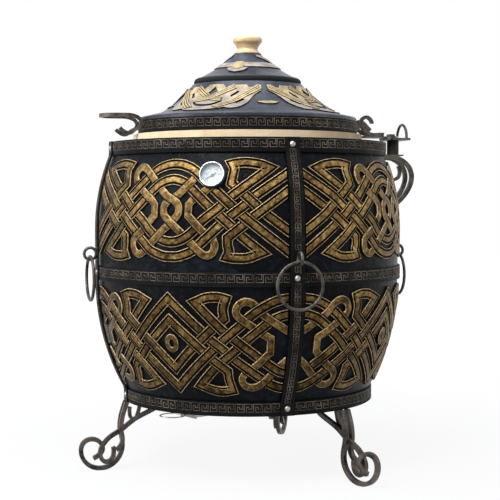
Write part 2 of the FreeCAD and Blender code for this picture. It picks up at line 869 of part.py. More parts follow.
def make_hinge_bracket(plate_low):
    """Two bowed bars from under the hinge's lower plate to the barrel's wall, and a curl between."""
    bar, spread = mm("bar_width"), mm("bracket_spread")
    level = plate_low - bar / 2
    side_view = [
        (296, level), (310, level), (330, level), (350, level - 10), (362, level - 25),
        (365.5, level - 41), (358, level - 68), (340, level - 91), (319, level - 109),
    ]
    wall = parts["clay_body"].Shape
    bars = []
    for middle in (-spread, spread):
        piece = bent_bar(side_view, bar, middle - bar / 2, middle + bar / 2)
        piece = piece.common(between(plate_low - 200, plate_low))
        piece.Placement = hinge_placement()
        bars.append(max(piece.cut(wall).Solids, key=lambda solid: solid.Volume))
    keep("hinge_bracket_bars", shaped("hinge_bracket_bars", Part.Compound(bars)))

    small = mm("small_bar_width")
    curl = [(316, 610), (330, 611), (342, 617), (345, 629), (341, 641)]
    shape = bent_bar(curl, small, -small / 2, small / 2)
    keep("hinge_bracket_curl", shaped("hinge_bracket_curl", shape, hinge_placement()))


# ---------------------------------------------------------------- legs
def make_legs():
    """Three legs, each of three scrolled square bars side by side, with a curl under the base."""
    bar, top = mm("bar_width"), mm("base_height")
    reach, ring, centre = mm("leg_top_reach"), mm("leg_ring_reach"), mm("leg_ring_height")
    shin = [(reach - 3.5, top + 10), (reach, top), (reach + 7, top - 20), (reach + 12, top - 42),
            (reach + 12.5, top - 61)]
    scroll = shin + [
        (ring - 62, centre + 26), (ring - 62, centre + 8), (ring - 52, centre - 14),
        (ring - 36, centre - 27), (ring - 16, centre - 31.4), (ring + 8, centre - 24),
        (ring + 24.5, centre + 4), (ring + 18, centre + 25), (ring, centre + 30.5),
        (ring - 17, centre + 21), (ring - 20.5, centre + 7), (ring - 12, centre - 4),
        (ring - 1, centre - 10),
    ]
    start = mm("brace_top_reach")
    brace = [
        (start - 7, top + 10), (start, top), (start + 8, top - 11), (start + 23, top - 21),
        (start + 63, top - 41), (ring - 58, centre + 49), (ring - 36, centre + 36),
        (ring - 20, centre + 19), (ring - 14.5, centre - 2), (ring - 25, centre - 16.5),
        (ring - 36, centre - 14), (ring - 42.5, centre - 1), (ring - 41.5, centre + 14),
    ]
    tie = shin + [(ring - 60, centre + 29), (ring - 55, centre + 16), (ring - 47, centre + 9)]
    curl = [(reach - 5.8, top - 11), (reach - 5.4, top - 27), (reach - 9.5, top - 35.5),
            (reach - 16, top - 37), (reach - 20.5, top - 31), (reach - 25, top - 16),
            (reach - 28.5, top), (reach - 30, top + 8)]
    room = between(0, top)
    legs = {side: turned_to(mm(side + "_leg_bearing")) for side in ("left", "right", "rear")}

    for side, place in legs.items():
        label = "leg_scroll_" + side
        keep(label, shaped(label, bent_bar(scroll, bar, *beside(0, bar)).common(room), place))
    small = mm("small_bar_width")
    for label, path, width, (low, high) in (
        ("leg_braces", brace, bar, beside(1, bar)),
        ("leg_tie_bars", tie, bar, beside(2, bar)),
        ("leg_curls", curl, small, beside(2, bar)),
    ):
        shape = bent_bar(path, width, low, high).common(room)
        keep(label, copies(label, shape, legs.values()))


# ---------------------------------------------------------------- hearth, heater and its terminals
def heater_leg():
    """Where the element's first end goes down, seen along the heater's bearing."""
    angle = math.radians(mm("element_gap_angle"))
    radius, bend = mm("element_radius"), mm("element_bend")
    x = radius * math.cos(angle) + bend * math.sin(angle)
    y = radius * math.sin(angle) - bend * math.cos(angle)
    return x, y


def bushing_holes(label):
    """Cutters for the two bushings, through the base plate and the hearth."""
    x, y = heater_leg()
    radius = mm("bushing_radius") + 0.2
    holes = [Part.makeCylinder(radius, 200, Vector(x, side * y, 100)) for side in (-1, 1)]
    return shaped(label, Part.Compound(holes), turned_to(mm("heater_bearing")))


def make_hearth_grate():
    """Slotted cast-iron grate over the crumb hole."""
    low, thick = hearth.value - mm("grate_rebate") + 0.05, mm("grate_thick")
    grate = Part.makeCylinder(mm("grate_radius"), thick, Vector(0, 0, low))
    slot, rib, edge = 7, 7, 42
    for row in range(-2, 3):
        y = row * (slot + rib)
        half = math.sqrt(edge ** 2 - (abs(y) + slot / 2) ** 2)
        start = Vector(-half, y - slot / 2, low - 1)
        grate = grate.cut(Part.makeBox(2 * half, slot, thick + 2, start))
    keep("hearth_grate", shaped("hearth_grate", grate))


def make_heating_element():
    """Tubular element: a near-complete ring above the hearth with both ends turned down."""
    angle = math.radians(mm("element_gap_angle"))
    radius, bend = mm("element_radius"), mm("element_bend")
    top, low = mm("element_height"), mm("element_end_height")
    x, y = heater_leg()
    start = Vector(radius * math.cos(angle), radius * math.sin(angle), top)
    corner = Vector(start.x, start.y, top - bend)
    back = Vector(x, y, top - bend)
    middle = corner + (back - corner + Vector(0, 0, bend)) * math.sqrt(0.5)
    first = [Vector(x, y, low), back, middle, start]
    last = [Vector(p.x, -p.y, p.z) for p in reversed(first)]
    path = Part.Wire([
        Part.makeLine(first[0], first[1]),
        Part.Arc(*first[1:]).toShape(),
        Part.Arc(first[3], Vector(-radius, 0, top), last[0]).toShape(),
        Part.Arc(*last[:3]).toShape(),
        Part.makeLine(last[2], last[3]),
    ])
    section = Part.Wire(Part.makeCircle(mm("element_tube"), first[0], UP))
    shape = path.makePipeShell([section], True, False)
    place = turned_to(mm("heater_bearing"))
    keep("heating_element", shaped("heating_element", shape, place))


def make_element_supports():
    """Ceramic bushings where the element passes the hearth, and slotted plates that carry it."""
    x, y = heater_leg()
    place = turned_to(mm("heater_bearing"))
    low, top = mm("base_height") + 0.2, hearth.value
    bushings = []
    for side in (-1, 1):
        at = Vector(x, side * y, low)
        sleeve = Part.makeCylinder(mm("bushing_radius"), top + 1 - low, at)
        collar = Part.makeCylinder(mm("bushing_collar"), 6, Vector(at.x, at.y, top))
        bore = Part.makeCylinder(mm("element_tube") + 0.35, 200, Vector(at.x, at.y, 100))
        bushings.append(sleeve.fuse(collar).cut(bore))
    keep("element_bushings", shaped("element_bushings", Part.Compound(bushings), place))

    radius, height = mm("element_radius"), mm("element_height")
    slot = mm("element_tube") + 0.2
    plate = Part.makeBox(20, 4, height + 4 - top, Vector(radius - 10, -2, top))
    round_end = Part.makeCylinder(slot, 10, Vector(radius, -5, height), ACROSS)
    mouth = Part.makeBox(2 * slot, 10, 10, Vector(radius - slot, -5, height))
    saddle = plate.cut(round_end).cut(mouth)
    bearings = [mm("heater_bearing") + quarter for quarter in (90, 180, 270)]
    keep("element_saddles", copies("element_saddles", saddle, map(turned_to, bearings)))


def make_terminal_box():
    """Sheet-steel box under the base, its cover and screws, and the terminals inside."""
    place = turned_to(mm("heater_bearing"))
    wall, gap = cell("box_sheet"), cell("fit_gap")
    x0, x1, half = cell("box_inner_end"), cell("box_outer_end"), cell("box_half_width")
    top = cell("base_height")
    cover_low = top - cell("box_height")
    cover_top = cover_low + wall
    leg_x, leg_y = heater_leg()
    gland_height = cover_low + 21

    shell = cut(
        "box_shell",
        box("box_outer", (x0, x1), (-half, half), (cover_top + gap, top)),
        box("box_inner", (x0 + wall, x1 - wall), (wall - half, half - wall),
            (cover_low - 5, top - wall)),
    )
    pillar = 9
    pieces, holes, cover_holes, screws = [shell], [], [], []
    for k, (cx, cy) in enumerate(((1, 1), (1, -1), (-1, 1), (-1, -1))):
        inner = (x0 + wall - 0.5) if cx > 0 else (x1 - wall + 0.5)
        side = (half - wall + 0.5) * cy
        near_x = (inner, inner + pillar) if cx > 0 else (inner - pillar, inner)
        near_y = (side - pillar, side) if cy > 0 else (side, side + pillar)
        pieces.append(box("box_pillar_%d" % k, near_x, near_y, (cover_top + gap, top - wall + 0.5)))
        at = ((near_x[0] + near_x[1]) / 2, (near_y[0] + near_y[1]) / 2)
        holes.append(upright("pillar_bore_%d" % k, 2.05, cover_low - 1, cover_low + 14, *at))
        cover_holes.append(upright("cover_hole_%d" % k, 2.1, cover_low - 1, cover_low + 5, *at))
        screws.append(fuse(
            "cover_screw_%d" % k,
            upright("screw_head_%d" % k, 3.8, cover_low - 2.4, cover_low, *at),
            upright("screw_shank_%d" % k, 2, cover_low - 1, cover_low + 12, *at),
        ))
    for side in (-1, 1):
        name = "roof_hole_%s" % ("front" if side < 0 else "rear")
        holes.append(upright(name, 5, cover_top + 30, top + 1, leg_x, side * leg_y))
    holes.append(lying_out("gland_hole", 6.2, x1 - 5, x1 + 5, gland_height))
    keep("terminal_box", cut("terminal_box", fuse("box_blank", *pieces), *holes), place)
    cover = box("cover_blank", (x0, x1), (-half, half), (cover_low, cover_top))
    keep("terminal_cover", cut("terminal_cover", cover, *cover_holes), place)
    keep("terminal_cover_screws", together("terminal_cover_screws", *screws), place)

    block = box("block_blank", (x0 + 8, x0 + 38), (-18, 18), (top - 26, top - wall - gap))
    keep("terminal_block", together("terminal_block", block), place)
    end, face = mm("element_end_height"), mm("box_inner_end") + 38.1
    under_ends = between(0, end)
    leads = [
        round_bar([
            Vector(leg_x, side * leg_y, end),
            Vector(leg_x, side * leg_y, end - 5),
            Vector(leg_x - 12, side * (leg_y - 5), end - 10),
            Vector(face + 7, side * 11, end - 4),
            Vector(face, side * 10, end - 2),
        ], 1.2).common(under_ends)
        for side in (-1, 1)
    ]
    keep("element_leads", shaped("element_leads", Part.Compound(leads), place))

    turn = FreeCAD.Rotation(ACROSS, 90)
    bore = lying_out("gland_bore", cell("gland_bore"), x1 - 20, x1 + 40, gland_height)
    body = fuse(
        "gland_blank",
        lying_out("gland_thread", 6, x1 - 7, x1 + 12, gland_height),
        hexagon("gland_flange", Size(19), x1, x1 + 5, rotation=turn, z=gland_height),
    )
    keep("cable_gland", cut("cable_gland", body, bore), place)
    nut = fuse(
        "gland_nut_blank",
        hexagon("gland_nut_hex", Size(19), x1 + 5.1, x1 + 15, rotation=turn, z=gland_height),
        lying_out("gland_nut_dome", 8, x1 + 14, x1 + 19, gland_height),
    )
    thread = lying_out("gland_nut_thread", 6.05, x1 + 2, x1 + 12.3, gland_height)
    outlet = lying_out("gland_nut_outlet", cell("gland_bore"), x1 + 2, x1 + 40, gland_height)
    keep("gland_dome_nut", cut("gland_dome_nut", nut, thread, outlet), place)


# ---------------------------------------------------------------- crumb tray
def make_crumb_tray():
    """Sheet tray that slides out on two channels under the base, pulled by a wire ring."""
    place = turned_to(mm("tray_bearing"))
    thick, half = cell("tray_sheet"), cell("tray_half_width")
    front, back = cell("tray_front"), -cell("tray_back")
    bottom, roof = cell("tray_bottom"), cell("base_height")
    rail_low = roof - cell("rail_height")
    rim = rail_low + thick + cell("lid_gap")
    edge = half + cell("tray_flange")
    outer = box("tray_outer", (back, front), (-half, half), (bottom, rim + thick))
    inner = box("tray_inner", (back + thick, front - thick), (thick - half, half - thick),
                (bottom + thick, rim + 20))
    keep("crumb_tray", fuse(
        "crumb_tray",
        cut("tray_pan", outer, inner),
        box("tray_flange_front", (back, front), (-edge, thick - half), (rim, rim + thick)),
        box("tray_flange_rear", (back, front), (half - thick, edge), (rim, rim + thick)),
        box("tray_face", (front - thick, front), (-edge, edge), (bottom - 2, roof - 4)),
    ), place)

    far, lip = cell("rail_half_width"), half + 1.8
    rails = []
    for name, turn in (("front", -1), ("rear", 1)):
        def across(low, high):
            return (-high, -low) if turn < 0 else (low, high)
        run = (back - 5, front - 5)
        rails.append(fuse(
            "rail_" + name,
            box("rail_web_" + name, run, across(far - thick, far), (rail_low, roof)),
            box("rail_lip_" + name, run, across(lip, far), (rail_low, rail_low + thick)),
            box("rail_top_" + name, run, across(lip, far), (roof - thick, roof)),
        ))
    keep("tray_rails", together("tray_rails", *rails), place)

    ring, wire = cell("pull_ring_radius"), cell("pull_ring_wire")
    level = bottom + 2
    pull = primitive("Part::Torus", "pull_ring", (front + 2.2 + ring, 0, level),
                     Radius1=ring, Radius2=wire)
    keep("tray_pull_ring", together("tray_pull_ring", pull), place)
    bore = cut(
        "staple_blank",
        box("staple_block", (front, front + 4.6), (-3.5, 3.5), (level - 4, level + 4)),
        primitive("Part::Torus", "staple_bore", (front + 2.2 + ring, 0, level),
                  Radius1=ring, Radius2=wire + 0.02),
    )
    keep("tray_ring_staple", together("tray_ring_staple", bore), place)


# ---------------------------------------------------------------- thermometer
def dial_placement():
    """Placement of the thermometer: Z points straight out of the wall and -X is up on the dial."""
    tip = FreeCAD.Placement(Vector(0, 0, 0), FreeCAD.Rotation(ACROSS, 90 - mm("dial_tilt")))
    return turned_to(mm("dial_bearing"), x=mm("dial_reach"), z=mm("dial_height")) * tip


def make_thermometer():
    """Deep-rimmed dial thermometer whose stem goes through the wall."""
    place = dial_placement()
    rim, radius = cell("case_depth"), cell("case_radius")
    bore, dial = cell("stem_radius") + 0.05, cell("dial_radius")
    ledge = Size(8.2)
    keep("thermometer_case", turned("thermometer_case", [
        (bore, 0),
        (radius, 0),
        (radius, rim - 1),
        (radius - 0.8, rim),
        (radius - 2, rim),
        (dial + 1, rim - 1),
        (dial + 1, ledge),
        (dial + 0.1, ledge),
        (dial + 0.1, 3),
        (bore, 3),
    ]), place)
    keep("thermometer_dial", turned("thermometer_dial", [
        (1.5, 3.05), (dial, 3.05), (dial, 4.4), (1.5, 4.4),
    ]), place)
    lens = upright("lens_blank", dial + 0.9, ledge + 0.05, ledge + 1.55)
    keep("thermometer_lens", together("thermometer_lens", lens), place)
    stem = upright("stem_blank", cell("stem_radius"), -cell("stem_length"), 2.9)
    keep("thermometer_stem", together("thermometer_stem", stem), place)

    angle = math.radians(mm("pointer_rest"))
    along = Vector(-math.cos(angle), math.sin(angle), 0)
    side = Vector(-along.y, along.x, 0)
    low, thick = 5.0, 0.7
    corners = [along * 17 + side * 0.4, along * 2 + side * 1, along * -8 + side * 1.5]
    corners += [along * -8 - side * 1.5, along * 2 - side * 1, along * 17 - side * 0.4]
    corners = [corner + Vector(0, 0, low) for corner in corners]
    needle = Part.Face(Part.makePolygon(corners + corners[:1])).extrude(Vector(0, 0, thick))
    hub = Part.makeCylinder(2.6, 1.4, Vector(0, 0, low))
    spindle = Part.makeCylinder(1, 1.7, Vector(0, 0, 3.5))
    pointer = needle.fuse([hub, spindle]).removeSplitter()
    keep("thermometer_pointer", shaped("thermometer_pointer", pointer, place))


# ---------------------------------------------------------------- build and write the pieces
def write_pieces():
    doc.recompute()
    for thing in doc.Objects:
        if "Invalid" in thing.State or "Error" in thing.State:
            raise RuntimeError("%s did not build: %s" % (thing.Label, thing.State))
    os.makedirs("parts", exist_ok=True)
    for label, piece in parts.items():
        shape = piece.Shape
        if shape.isNull() or not shape.isValid() or not shape.Solids:
            raise RuntimeError("%s is not a valid solid" % label)
        shape.exportStep("parts/%s.step" % label)
    print("%d pieces written" % len(parts))


holes = make_rivet_holes()
make_clay_body(holes)
make_hoops(holes)
make_straps(holes)
make_strap_rivets()
make_base_plate()
make_carrying_rings()
make_legs()
make_hearth_grate()
make_heating_element()
make_element_supports()
make_terminal_box()
make_crumb_tray()
make_thermometer()
make_lid()
make_vent_lid()
doc.recompute()
make_lid_handle()
make_hinge_leaf_side()
bracket_plate_low = make_hinge_base_side()
make_hinge_bracket(bracket_plate_low)
write_pieces()
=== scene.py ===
import math

import bmesh
import bpy
from mathutils import Matrix, Vector
from mathutils.bvhtree import BVHTree


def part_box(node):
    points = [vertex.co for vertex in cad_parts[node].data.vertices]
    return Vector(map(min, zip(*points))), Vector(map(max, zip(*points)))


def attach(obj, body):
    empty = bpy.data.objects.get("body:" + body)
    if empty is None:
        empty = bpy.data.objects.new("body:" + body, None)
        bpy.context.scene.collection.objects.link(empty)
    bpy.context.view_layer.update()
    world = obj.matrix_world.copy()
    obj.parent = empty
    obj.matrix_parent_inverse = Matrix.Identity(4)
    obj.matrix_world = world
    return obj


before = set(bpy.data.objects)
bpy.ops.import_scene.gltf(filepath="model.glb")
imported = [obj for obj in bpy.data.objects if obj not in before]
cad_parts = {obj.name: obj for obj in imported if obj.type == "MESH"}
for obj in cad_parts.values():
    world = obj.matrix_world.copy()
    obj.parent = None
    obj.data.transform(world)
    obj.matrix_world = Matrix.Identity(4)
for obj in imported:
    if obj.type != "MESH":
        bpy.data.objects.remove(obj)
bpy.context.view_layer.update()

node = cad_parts

# ---------------------------------------------------------------- viewpoint
# The oven is looked at from its front, a little above the middle hoop and from two and a half metres
# away, through a long lens that keeps its hoops nearly level.
EYE_BACK, EYE_HEIGHT = 2.617, 0.5696
LOOK_DOWN = math.radians(2.42)
SENSOR_WIDTH, LENS_LENGTH, LENS_SHIFT = 36, 87.552, 0.005

bpy.ops.object.select_all(action="DESELECT")
bpy.ops.object.camera_add(location=(0, -EYE_BACK, EYE_HEIGHT), rotation=(math.pi / 2 - LOOK_DOWN, 0, 0))
camera = bpy.context.object
camera.data.sensor_width = SENSOR_WIDTH
camera.data.lens = LENS_LENGTH
camera.data.shift_x = LENS_SHIFT
bpy.context.scene.camera = camera


# ---------------------------------------------------------------- barrel
# Thick fired clay, turned and smoothed by hand. The wall outside is painted satin black over a
# leathery skin; the neck above the top hoop and everything inside is left as bare cream clay.
class Paint:
    """A value or colour inside one finish; adding, multiplying or comparing it adds the maths nodes."""

    def __init__(self, tree, socket):
        self.tree, self.socket = tree, socket

    def make(self, kind, settings, sockets, out=0):
        new = self.tree.nodes.new(kind)
        for name, value in settings.items():
            if name == "stops":
                ramp = new.color_ramp
                while len(ramp.elements) < len(value):
                    ramp.elements.new(0.5)
                for element, (place, colour) in zip(ramp.elements, value):
                    element.position = place
                    element.color = (*colour, 1)
            else:
                setattr(new, name, value)
        for key, value in sockets.items():
            if isinstance(value, Paint):
                self.tree.links.new(value.socket, new.inputs[key])
            else:
                new.inputs[key].default_value = value
        return Paint(self.tree, new.outputs[out])

    def sum_of(self, operation, *values):
        return self.make("ShaderNodeMath", {"operation": operation}, dict(enumerate(values)))

    def __add__(self, other):
        return self.sum_of("ADD", self, other)

    def __radd__(self, other):
        return self.sum_of("ADD", other, self)

    def __sub__(self, other):
        return self.sum_of("SUBTRACT", self, other)

    def __rsub__(self, other):
        return self.sum_of("SUBTRACT", other, self)

    def __mul__(self, other):
        return self.sum_of("MULTIPLY", self, other)

    def __rmul__(self, other):
        return self.sum_of("MULTIPLY", other, self)

    def __gt__(self, other):
        return self.sum_of("GREATER_THAN", self, other)

    def __lt__(self, other):
        return self.sum_of("LESS_THAN", self, other)

    def between(self, low, high, start=0.0, end=1.0):
        """Goes from start to end as this value goes from low to high, and stays there."""
        return self.make("ShaderNodeMapRange", {"clamp": True, "interpolation_type": "SMOOTHSTEP"},
                         {0: self, 1: low, 2: high, 3: start, 4: end})

    def colours(self, *stops):
        return self.make("ShaderNodeValToRGB", {"stops": stops}, {0: self})

    def covered(self, colour, mask):
        """This colour with another one laid over it where the mask is 1."""
        colour = colour if isinstance(colour, Paint) else (*colour, 1)
        return self.make("ShaderNodeMix", {"data_type": "RGBA"}, {0: mask, 6: self, 7: colour}, out=2)


class Finish:
    """A material with one glossy shader, and the patterns that its sockets are fed with."""

    def __init__(self, name, **plain):
        self.material = bpy.data.materials.new(name)
        self.material.use_nodes = True
        self.tree = self.material.node_tree
        self.shader = self.tree.nodes["Principled BSDF"]
        for key, value in plain.items():
            self.set(key.replace("_", " "), value)
        place = self.tree.nodes.new("ShaderNodeTexCoord")
        self.place = Paint(self.tree, place.outputs["Object"])
        self.facing = Paint(self.tree, place.outputs["Normal"])
        self.z = self.place.make("ShaderNodeSeparateXYZ", {}, {0: self.place}, out=2)

    def set(self, key, value):
        socket = self.shader.inputs[key]
        if isinstance(value, Paint):
            self.tree.links.new(value.socket, socket)
        elif hasattr(value, "__len__"):
            socket.default_value = (*value, 1)
        else:
            socket.default_value = value

    def noise(self, scale, detail=3.0, roughness=0.55, distortion=0.0, stretch=None):
        place = self.place
        if stretch:
            place = place.make("ShaderNodeMapping", {}, {0: place, 3: stretch})
        return place.make("ShaderNodeTexNoise", {}, {"Vector": place, "Scale": scale, "Detail": detail,
                                                     "Roughness": roughness, "Distortion": distortion})

    def cells(self, scale, feature="F1"):
        return self.place.make(
            "ShaderNodeTexVoronoi", {"feature": feature}, {"Vector": self.place, "Scale": scale})

    def bump(self, height, depth, strength=1.0):
        """Depth is the real height in metres of a full step of the pattern."""
        self.set("Normal", height.make(
            "ShaderNodeBump", {}, {"Strength": strength, "Distance": depth, "Height": height}))

    def mottled(self, noise, stops, rough, depth=0.0, ends=(0.3, 0.7)):
        """Lets colour and gloss wander with one noise, which may also be felt as a depth in metres."""
        noise = self.noise(*noise)
        self.set("Base Color", noise.colours(*stops))
        self.set("Roughness", noise.between(*ends, *rough))
        if depth:
            self.bump(noise, depth)

    def dress(self, *names):
        """Puts this finish on whole nodes of the solid model."""
        for name in names:
            data = node[name].data
            data.materials.clear()
            data.materials.append(self.material)
            for face in data.polygons:
                face.material_index = 0


def black_clay(name, sheen, *stops):
    """Satin black paint over leathery clay: greyer where it is rubbed, with fine wrinkles."""
    finish = Finish(name, Specular_IOR_Level=sheen)
    wrinkle = finish.noise(62, 5, 0.6, 0.9)
    pores = finish.noise(330, 3, 0.6)
    patches = finish.noise(9, 3)
    tone = wrinkle * 0.6 + patches * 0.5
    finish.black = tone.colours(*stops)
    finish.skin = wrinkle * 0.75 + pores * 0.25
    finish.dull = patches.between(0.3, 0.7, 0.25, 0.36)
    return finish


def bare_clay(finish):
    """Cream clay with pale chalky clouds, and its sandy grain."""
    clouds = finish.noise(16, 4, 0.6)
    base = clouds.colours((0.3, (0.64, 0.465, 0.30)), (0.55, (0.76, 0.60, 0.405)), (0.75, (0.84, 0.71, 0.52)))
    return base, finish.noise(420, 2)


CLAY_ROUGHNESS = 0.8
PAINT_TOP = 0.6885      # the paint stops just over the top hoop

barrel_finish = black_clay("painted_clay_barrel", 0.05, (0.36, (0.0013, 0.0014, 0.0018)),
                           (0.56, (0.0028, 0.0032, 0.0046)), (0.8, (0.014, 0.018, 0.027)))
clay_colour, clay_grain = bare_clay(barrel_finish)
dark_specks = barrel_finish.noise(230, 2).between(0.68, 0.74) * 0.5
clay_colour = clay_colour.covered((0.45, 0.33, 0.23), dark_specks)
outward = barrel_finish.place.make(
    "ShaderNodeVectorMath", {"operation": "MULTIPLY"}, {0: barrel_finish.place, 1: (1, 1, 0)})
outward = outward.make("ShaderNodeVectorMath", {"operation": "NORMALIZE"}, {0: outward})
faces_out = outward.make(
    "ShaderNodeVectorMath", {"operation": "DOT_PRODUCT"}, {0: barrel_finish.facing, 1: outward}, out=1)
painted = (barrel_finish.z < PAINT_TOP) * (faces_out > -0.15)
barrel_finish.set("Base Color", clay_colour.covered(barrel_finish.black, painted))
barrel_finish.set("Roughness", painted * (barrel_finish.dull - CLAY_ROUGHNESS) + CLAY_ROUGHNESS)
barrel_finish.bump(barrel_finish.skin * painted + clay_grain * (1 - painted) * 0.2, 0.0026, 1.0)
barrel_finish.dress("clay_body")


# ---------------------------------------------------------------- knotwork on the barrel
# Flat and doubled straps of clay, modelled on the wet wall, cut where one passes under another,
# then painted: old gold in the middle, pale rubbed edges and black grooves.
MM = 0.001
SHARP = "sharp corner"
STRAP_TURNS = (17.0, 103.0, 197.0, 287.0)       # degrees from the front, towards the hinge
FRONT_STRAP = STRAP_TURNS[0]

# the clay's outline in mm: a plain foot, belly and shoulder, with a bulging arc between each two
FOOT_RADIUS, BELLY_RADIUS, SHOULDER_RADIUS = 264.5, 321.0, 291.0
FOOT_TOP, BELLY_LOW, BELLY_HIGH, SHOULDER_LOW = 175, 422, 507, 659
LOW_CURVE, HIGH_CURVE = 568, 400

# the thermometer's axis, square to the wall: the clay round it is pressed flat under the case
DIAL_TURN, DIAL_TILT = math.radians(-12.3), math.radians(15.35)
DIAL_RADIUS, DIAL_HEIGHT = 0.30675, 0.6129
DIAL_OUT = Vector((math.sin(DIAL_TURN) * math.cos(DIAL_TILT), -math.cos(DIAL_TURN) * math.cos(DIAL_TILT),
                   math.sin(DIAL_TILT)))
DIAL_FOOT = Vector((DIAL_RADIUS * math.sin(DIAL_TURN), -DIAL_RADIUS * math.cos(DIAL_TURN), DIAL_HEIGHT))
CASE_RADIUS, CASE_SEAT = 0.0246, 0.0006
UNDER_CASE = -1.5           # mm, where the relief dips under the wall


def round_axis(turn, radius, height):
    """The point in metres at a turn in degrees from the front, and at a radius and height in mm."""
    angle = math.radians(turn)
    return Vector((radius * math.sin(angle), -radius * math.cos(angle), height)) * MM


def arc_through(low, high, curve, bulge):
    """Middle of the arc between two (radius, height) points; it lies inward where the arc bulges."""
    (r1, z1), (r2, z2) = low, high
    span = math.hypot(r2 - r1, z2 - z1)
    back = math.sqrt(curve ** 2 - span ** 2 / 4) * (-1 if bulge else 1)
    return (r1 + r2) / 2 + back * (z2 - z1) / span, (z1 + z2) / 2 - back * (r2 - r1) / span


def barrel_radius(height):
    if height < FOOT_TOP:
        return FOOT_RADIUS - 3
    if BELLY_LOW <= height <= BELLY_HIGH:
        return BELLY_RADIUS
    if height >= SHOULDER_LOW:
        return SHOULDER_RADIUS
    low, high, curve = (FOOT_RADIUS, FOOT_TOP), (BELLY_RADIUS, BELLY_LOW), LOW_CURVE
    if height > BELLY_HIGH:
        low, high, curve = (BELLY_RADIUS, BELLY_HIGH), (SHOULDER_RADIUS, SHOULDER_LOW), HIGH_CURVE
    middle, middle_height = arc_through(low, high, curve, True)
    return middle + math.sqrt(curve ** 2 - (height - middle_height) ** 2)


def on_barrel(turn, height, lift):
    """A point over the barrel's wall, lifted square to it."""
    radius = barrel_radius(height)
    from_dial = round_axis(turn, radius, height) - DIAL_FOOT
    if (from_dial - DIAL_OUT * from_dial.dot(DIAL_OUT)).length < CASE_RADIUS + CASE_SEAT:
        lift = UNDER_CASE
    slope = (barrel_radius(height + 2) - barrel_radius(height - 2)) / 4
    long = math.sqrt(1 + slope * slope)
    return round_axis(turn, radius + lift / long, height - lift * slope / long)


def curve_through(points, step):
    """Points every step along a smooth line through the given ones, which breaks at the sharp corners."""
    corners = [0] + [k for k in range(1, len(points) - 1) if SHARP in points[k][2:]] + [len(points) - 1]
    line = []
    for first, last in zip(corners, corners[1:]):
        run = [point[:2] for point in points[first:last + 1]]
        dense = []
        for k in range(len(run) - 1):
            a, b = run[k], run[k + 1]
            before = run[k - 1] if k else (2 * a[0] - b[0], 2 * a[1] - b[1])
            after = run[k + 2] if k + 2 < len(run) else (2 * b[0] - a[0], 2 * b[1] - a[1])
            length = math.hypot(b[0] - a[0], b[1] - a[1])
            t_in = math.hypot(a[0] - before[0], a[1] - before[1])
            t_out = math.hypot(after[0] - b[0], after[1] - b[1])
            m_a = [(b[i] - before[i]) / (length + t_in) * length for i in (0, 1)]
            m_b = [(after[i] - a[i]) / (length + t_out) * length for i in (0, 1)]
            count = max(1, round(length / step))
            for j in range(count):
                t = j / count
                h = (2 * t ** 3 - 3 * t * t + 1, t ** 3 - 2 * t * t + t,
                     3 * t * t - 2 * t ** 3, t ** 3 - t * t)
                dense.append(tuple(
                    h[0] * a[i] + h[1] * m_a[i] + h[2] * b[i] + h[3] * m_b[i] for i in (0, 1)))
        line += dense
    line.append(points[-1][:2])
    return line


# counted in points of a strap's line
HALF_STEP, MOST_STEPS, SHORTEST_STRETCH, ROW_CLEAR = 0.5, 32, 0.4, 0.3
LONGEST_STEP = 12           # mm between two points of a strap that can still cross
GOLD, GROOVE, EDGE = 0, 1, 2


class Strap:
    """One strap of knotwork laid flat: its middle line in mm, its half width and its section."""

    def __init__(self, points, half, section, closed=False, step=4.5):
        if closed:
            points = points[-2:] + points + points[:3]
        line = curve_through(points, step)
        if closed:
            start = min(range(len(line) // 3), key=lambda k: math.dist(line[k], points[2]))
            end = max(range(2 * len(line) // 3, len(line)), key=lambda k: -math.dist(line[k], points[-3]))
            line = line[start:end]
        self.line, self.half, self.section, self.closed = line, half, section, closed
        count = len(line)
        self.mitres = []
        for k in range(count):
            before = line[k - 1] if k or closed else line[k]
            after = line[(k + 1) % count] if k < count - 1 or closed else line[k]
            here = line[k]
            d1 = Vector((here[0] - before[0], here[1] - before[1]))
            d2 = Vector((after[0] - here[0], after[1] - here[1]))
            d1 = d1 if d1.length else d2
            d2 = d2 if d2.length else d1
            n1, n2 = (Vector((-d.y, d.x)) / d.length for d in (d1, d2))
            self.mitres.append((n1 + n2) / (1 + n1.dot(n2)))
        self.crossings = []

    def at(self, place, offset):
        """Point of the edge line at an offset from the middle; place counts along the line's points."""
        count = len(self.line)
        k = math.floor(place)
        f = place - k
        if not self.closed:
            k = min(max(k, 0), count - 2)
            f = place - k
        a, b = k % count, (k + 1) % count
        pa = Vector(self.line[a]) + self.mitres[a] * offset
        pb = Vector(self.line[b]) + self.mitres[b] * offset
        return pa.lerp(pb, f)

    def gap_end(self, place, offset, crossed, direction, way, clear):
        """Walks from a crossing along one edge line until it is clear of the strap above."""
        side = Vector((-direction[1], direction[0]))
        walk = place
        pace = way * HALF_STEP
        for _ in range(MOST_STEPS):
            gap = abs((self.at(walk, offset) - crossed).dot(side))
            if gap >= clear:
                before = abs((self.at(walk - pace, offset) - crossed).dot(side))
                if gap > before:
                    walk -= pace * (gap - clear) / (gap - before)
                return walk
            walk += pace
        return walk


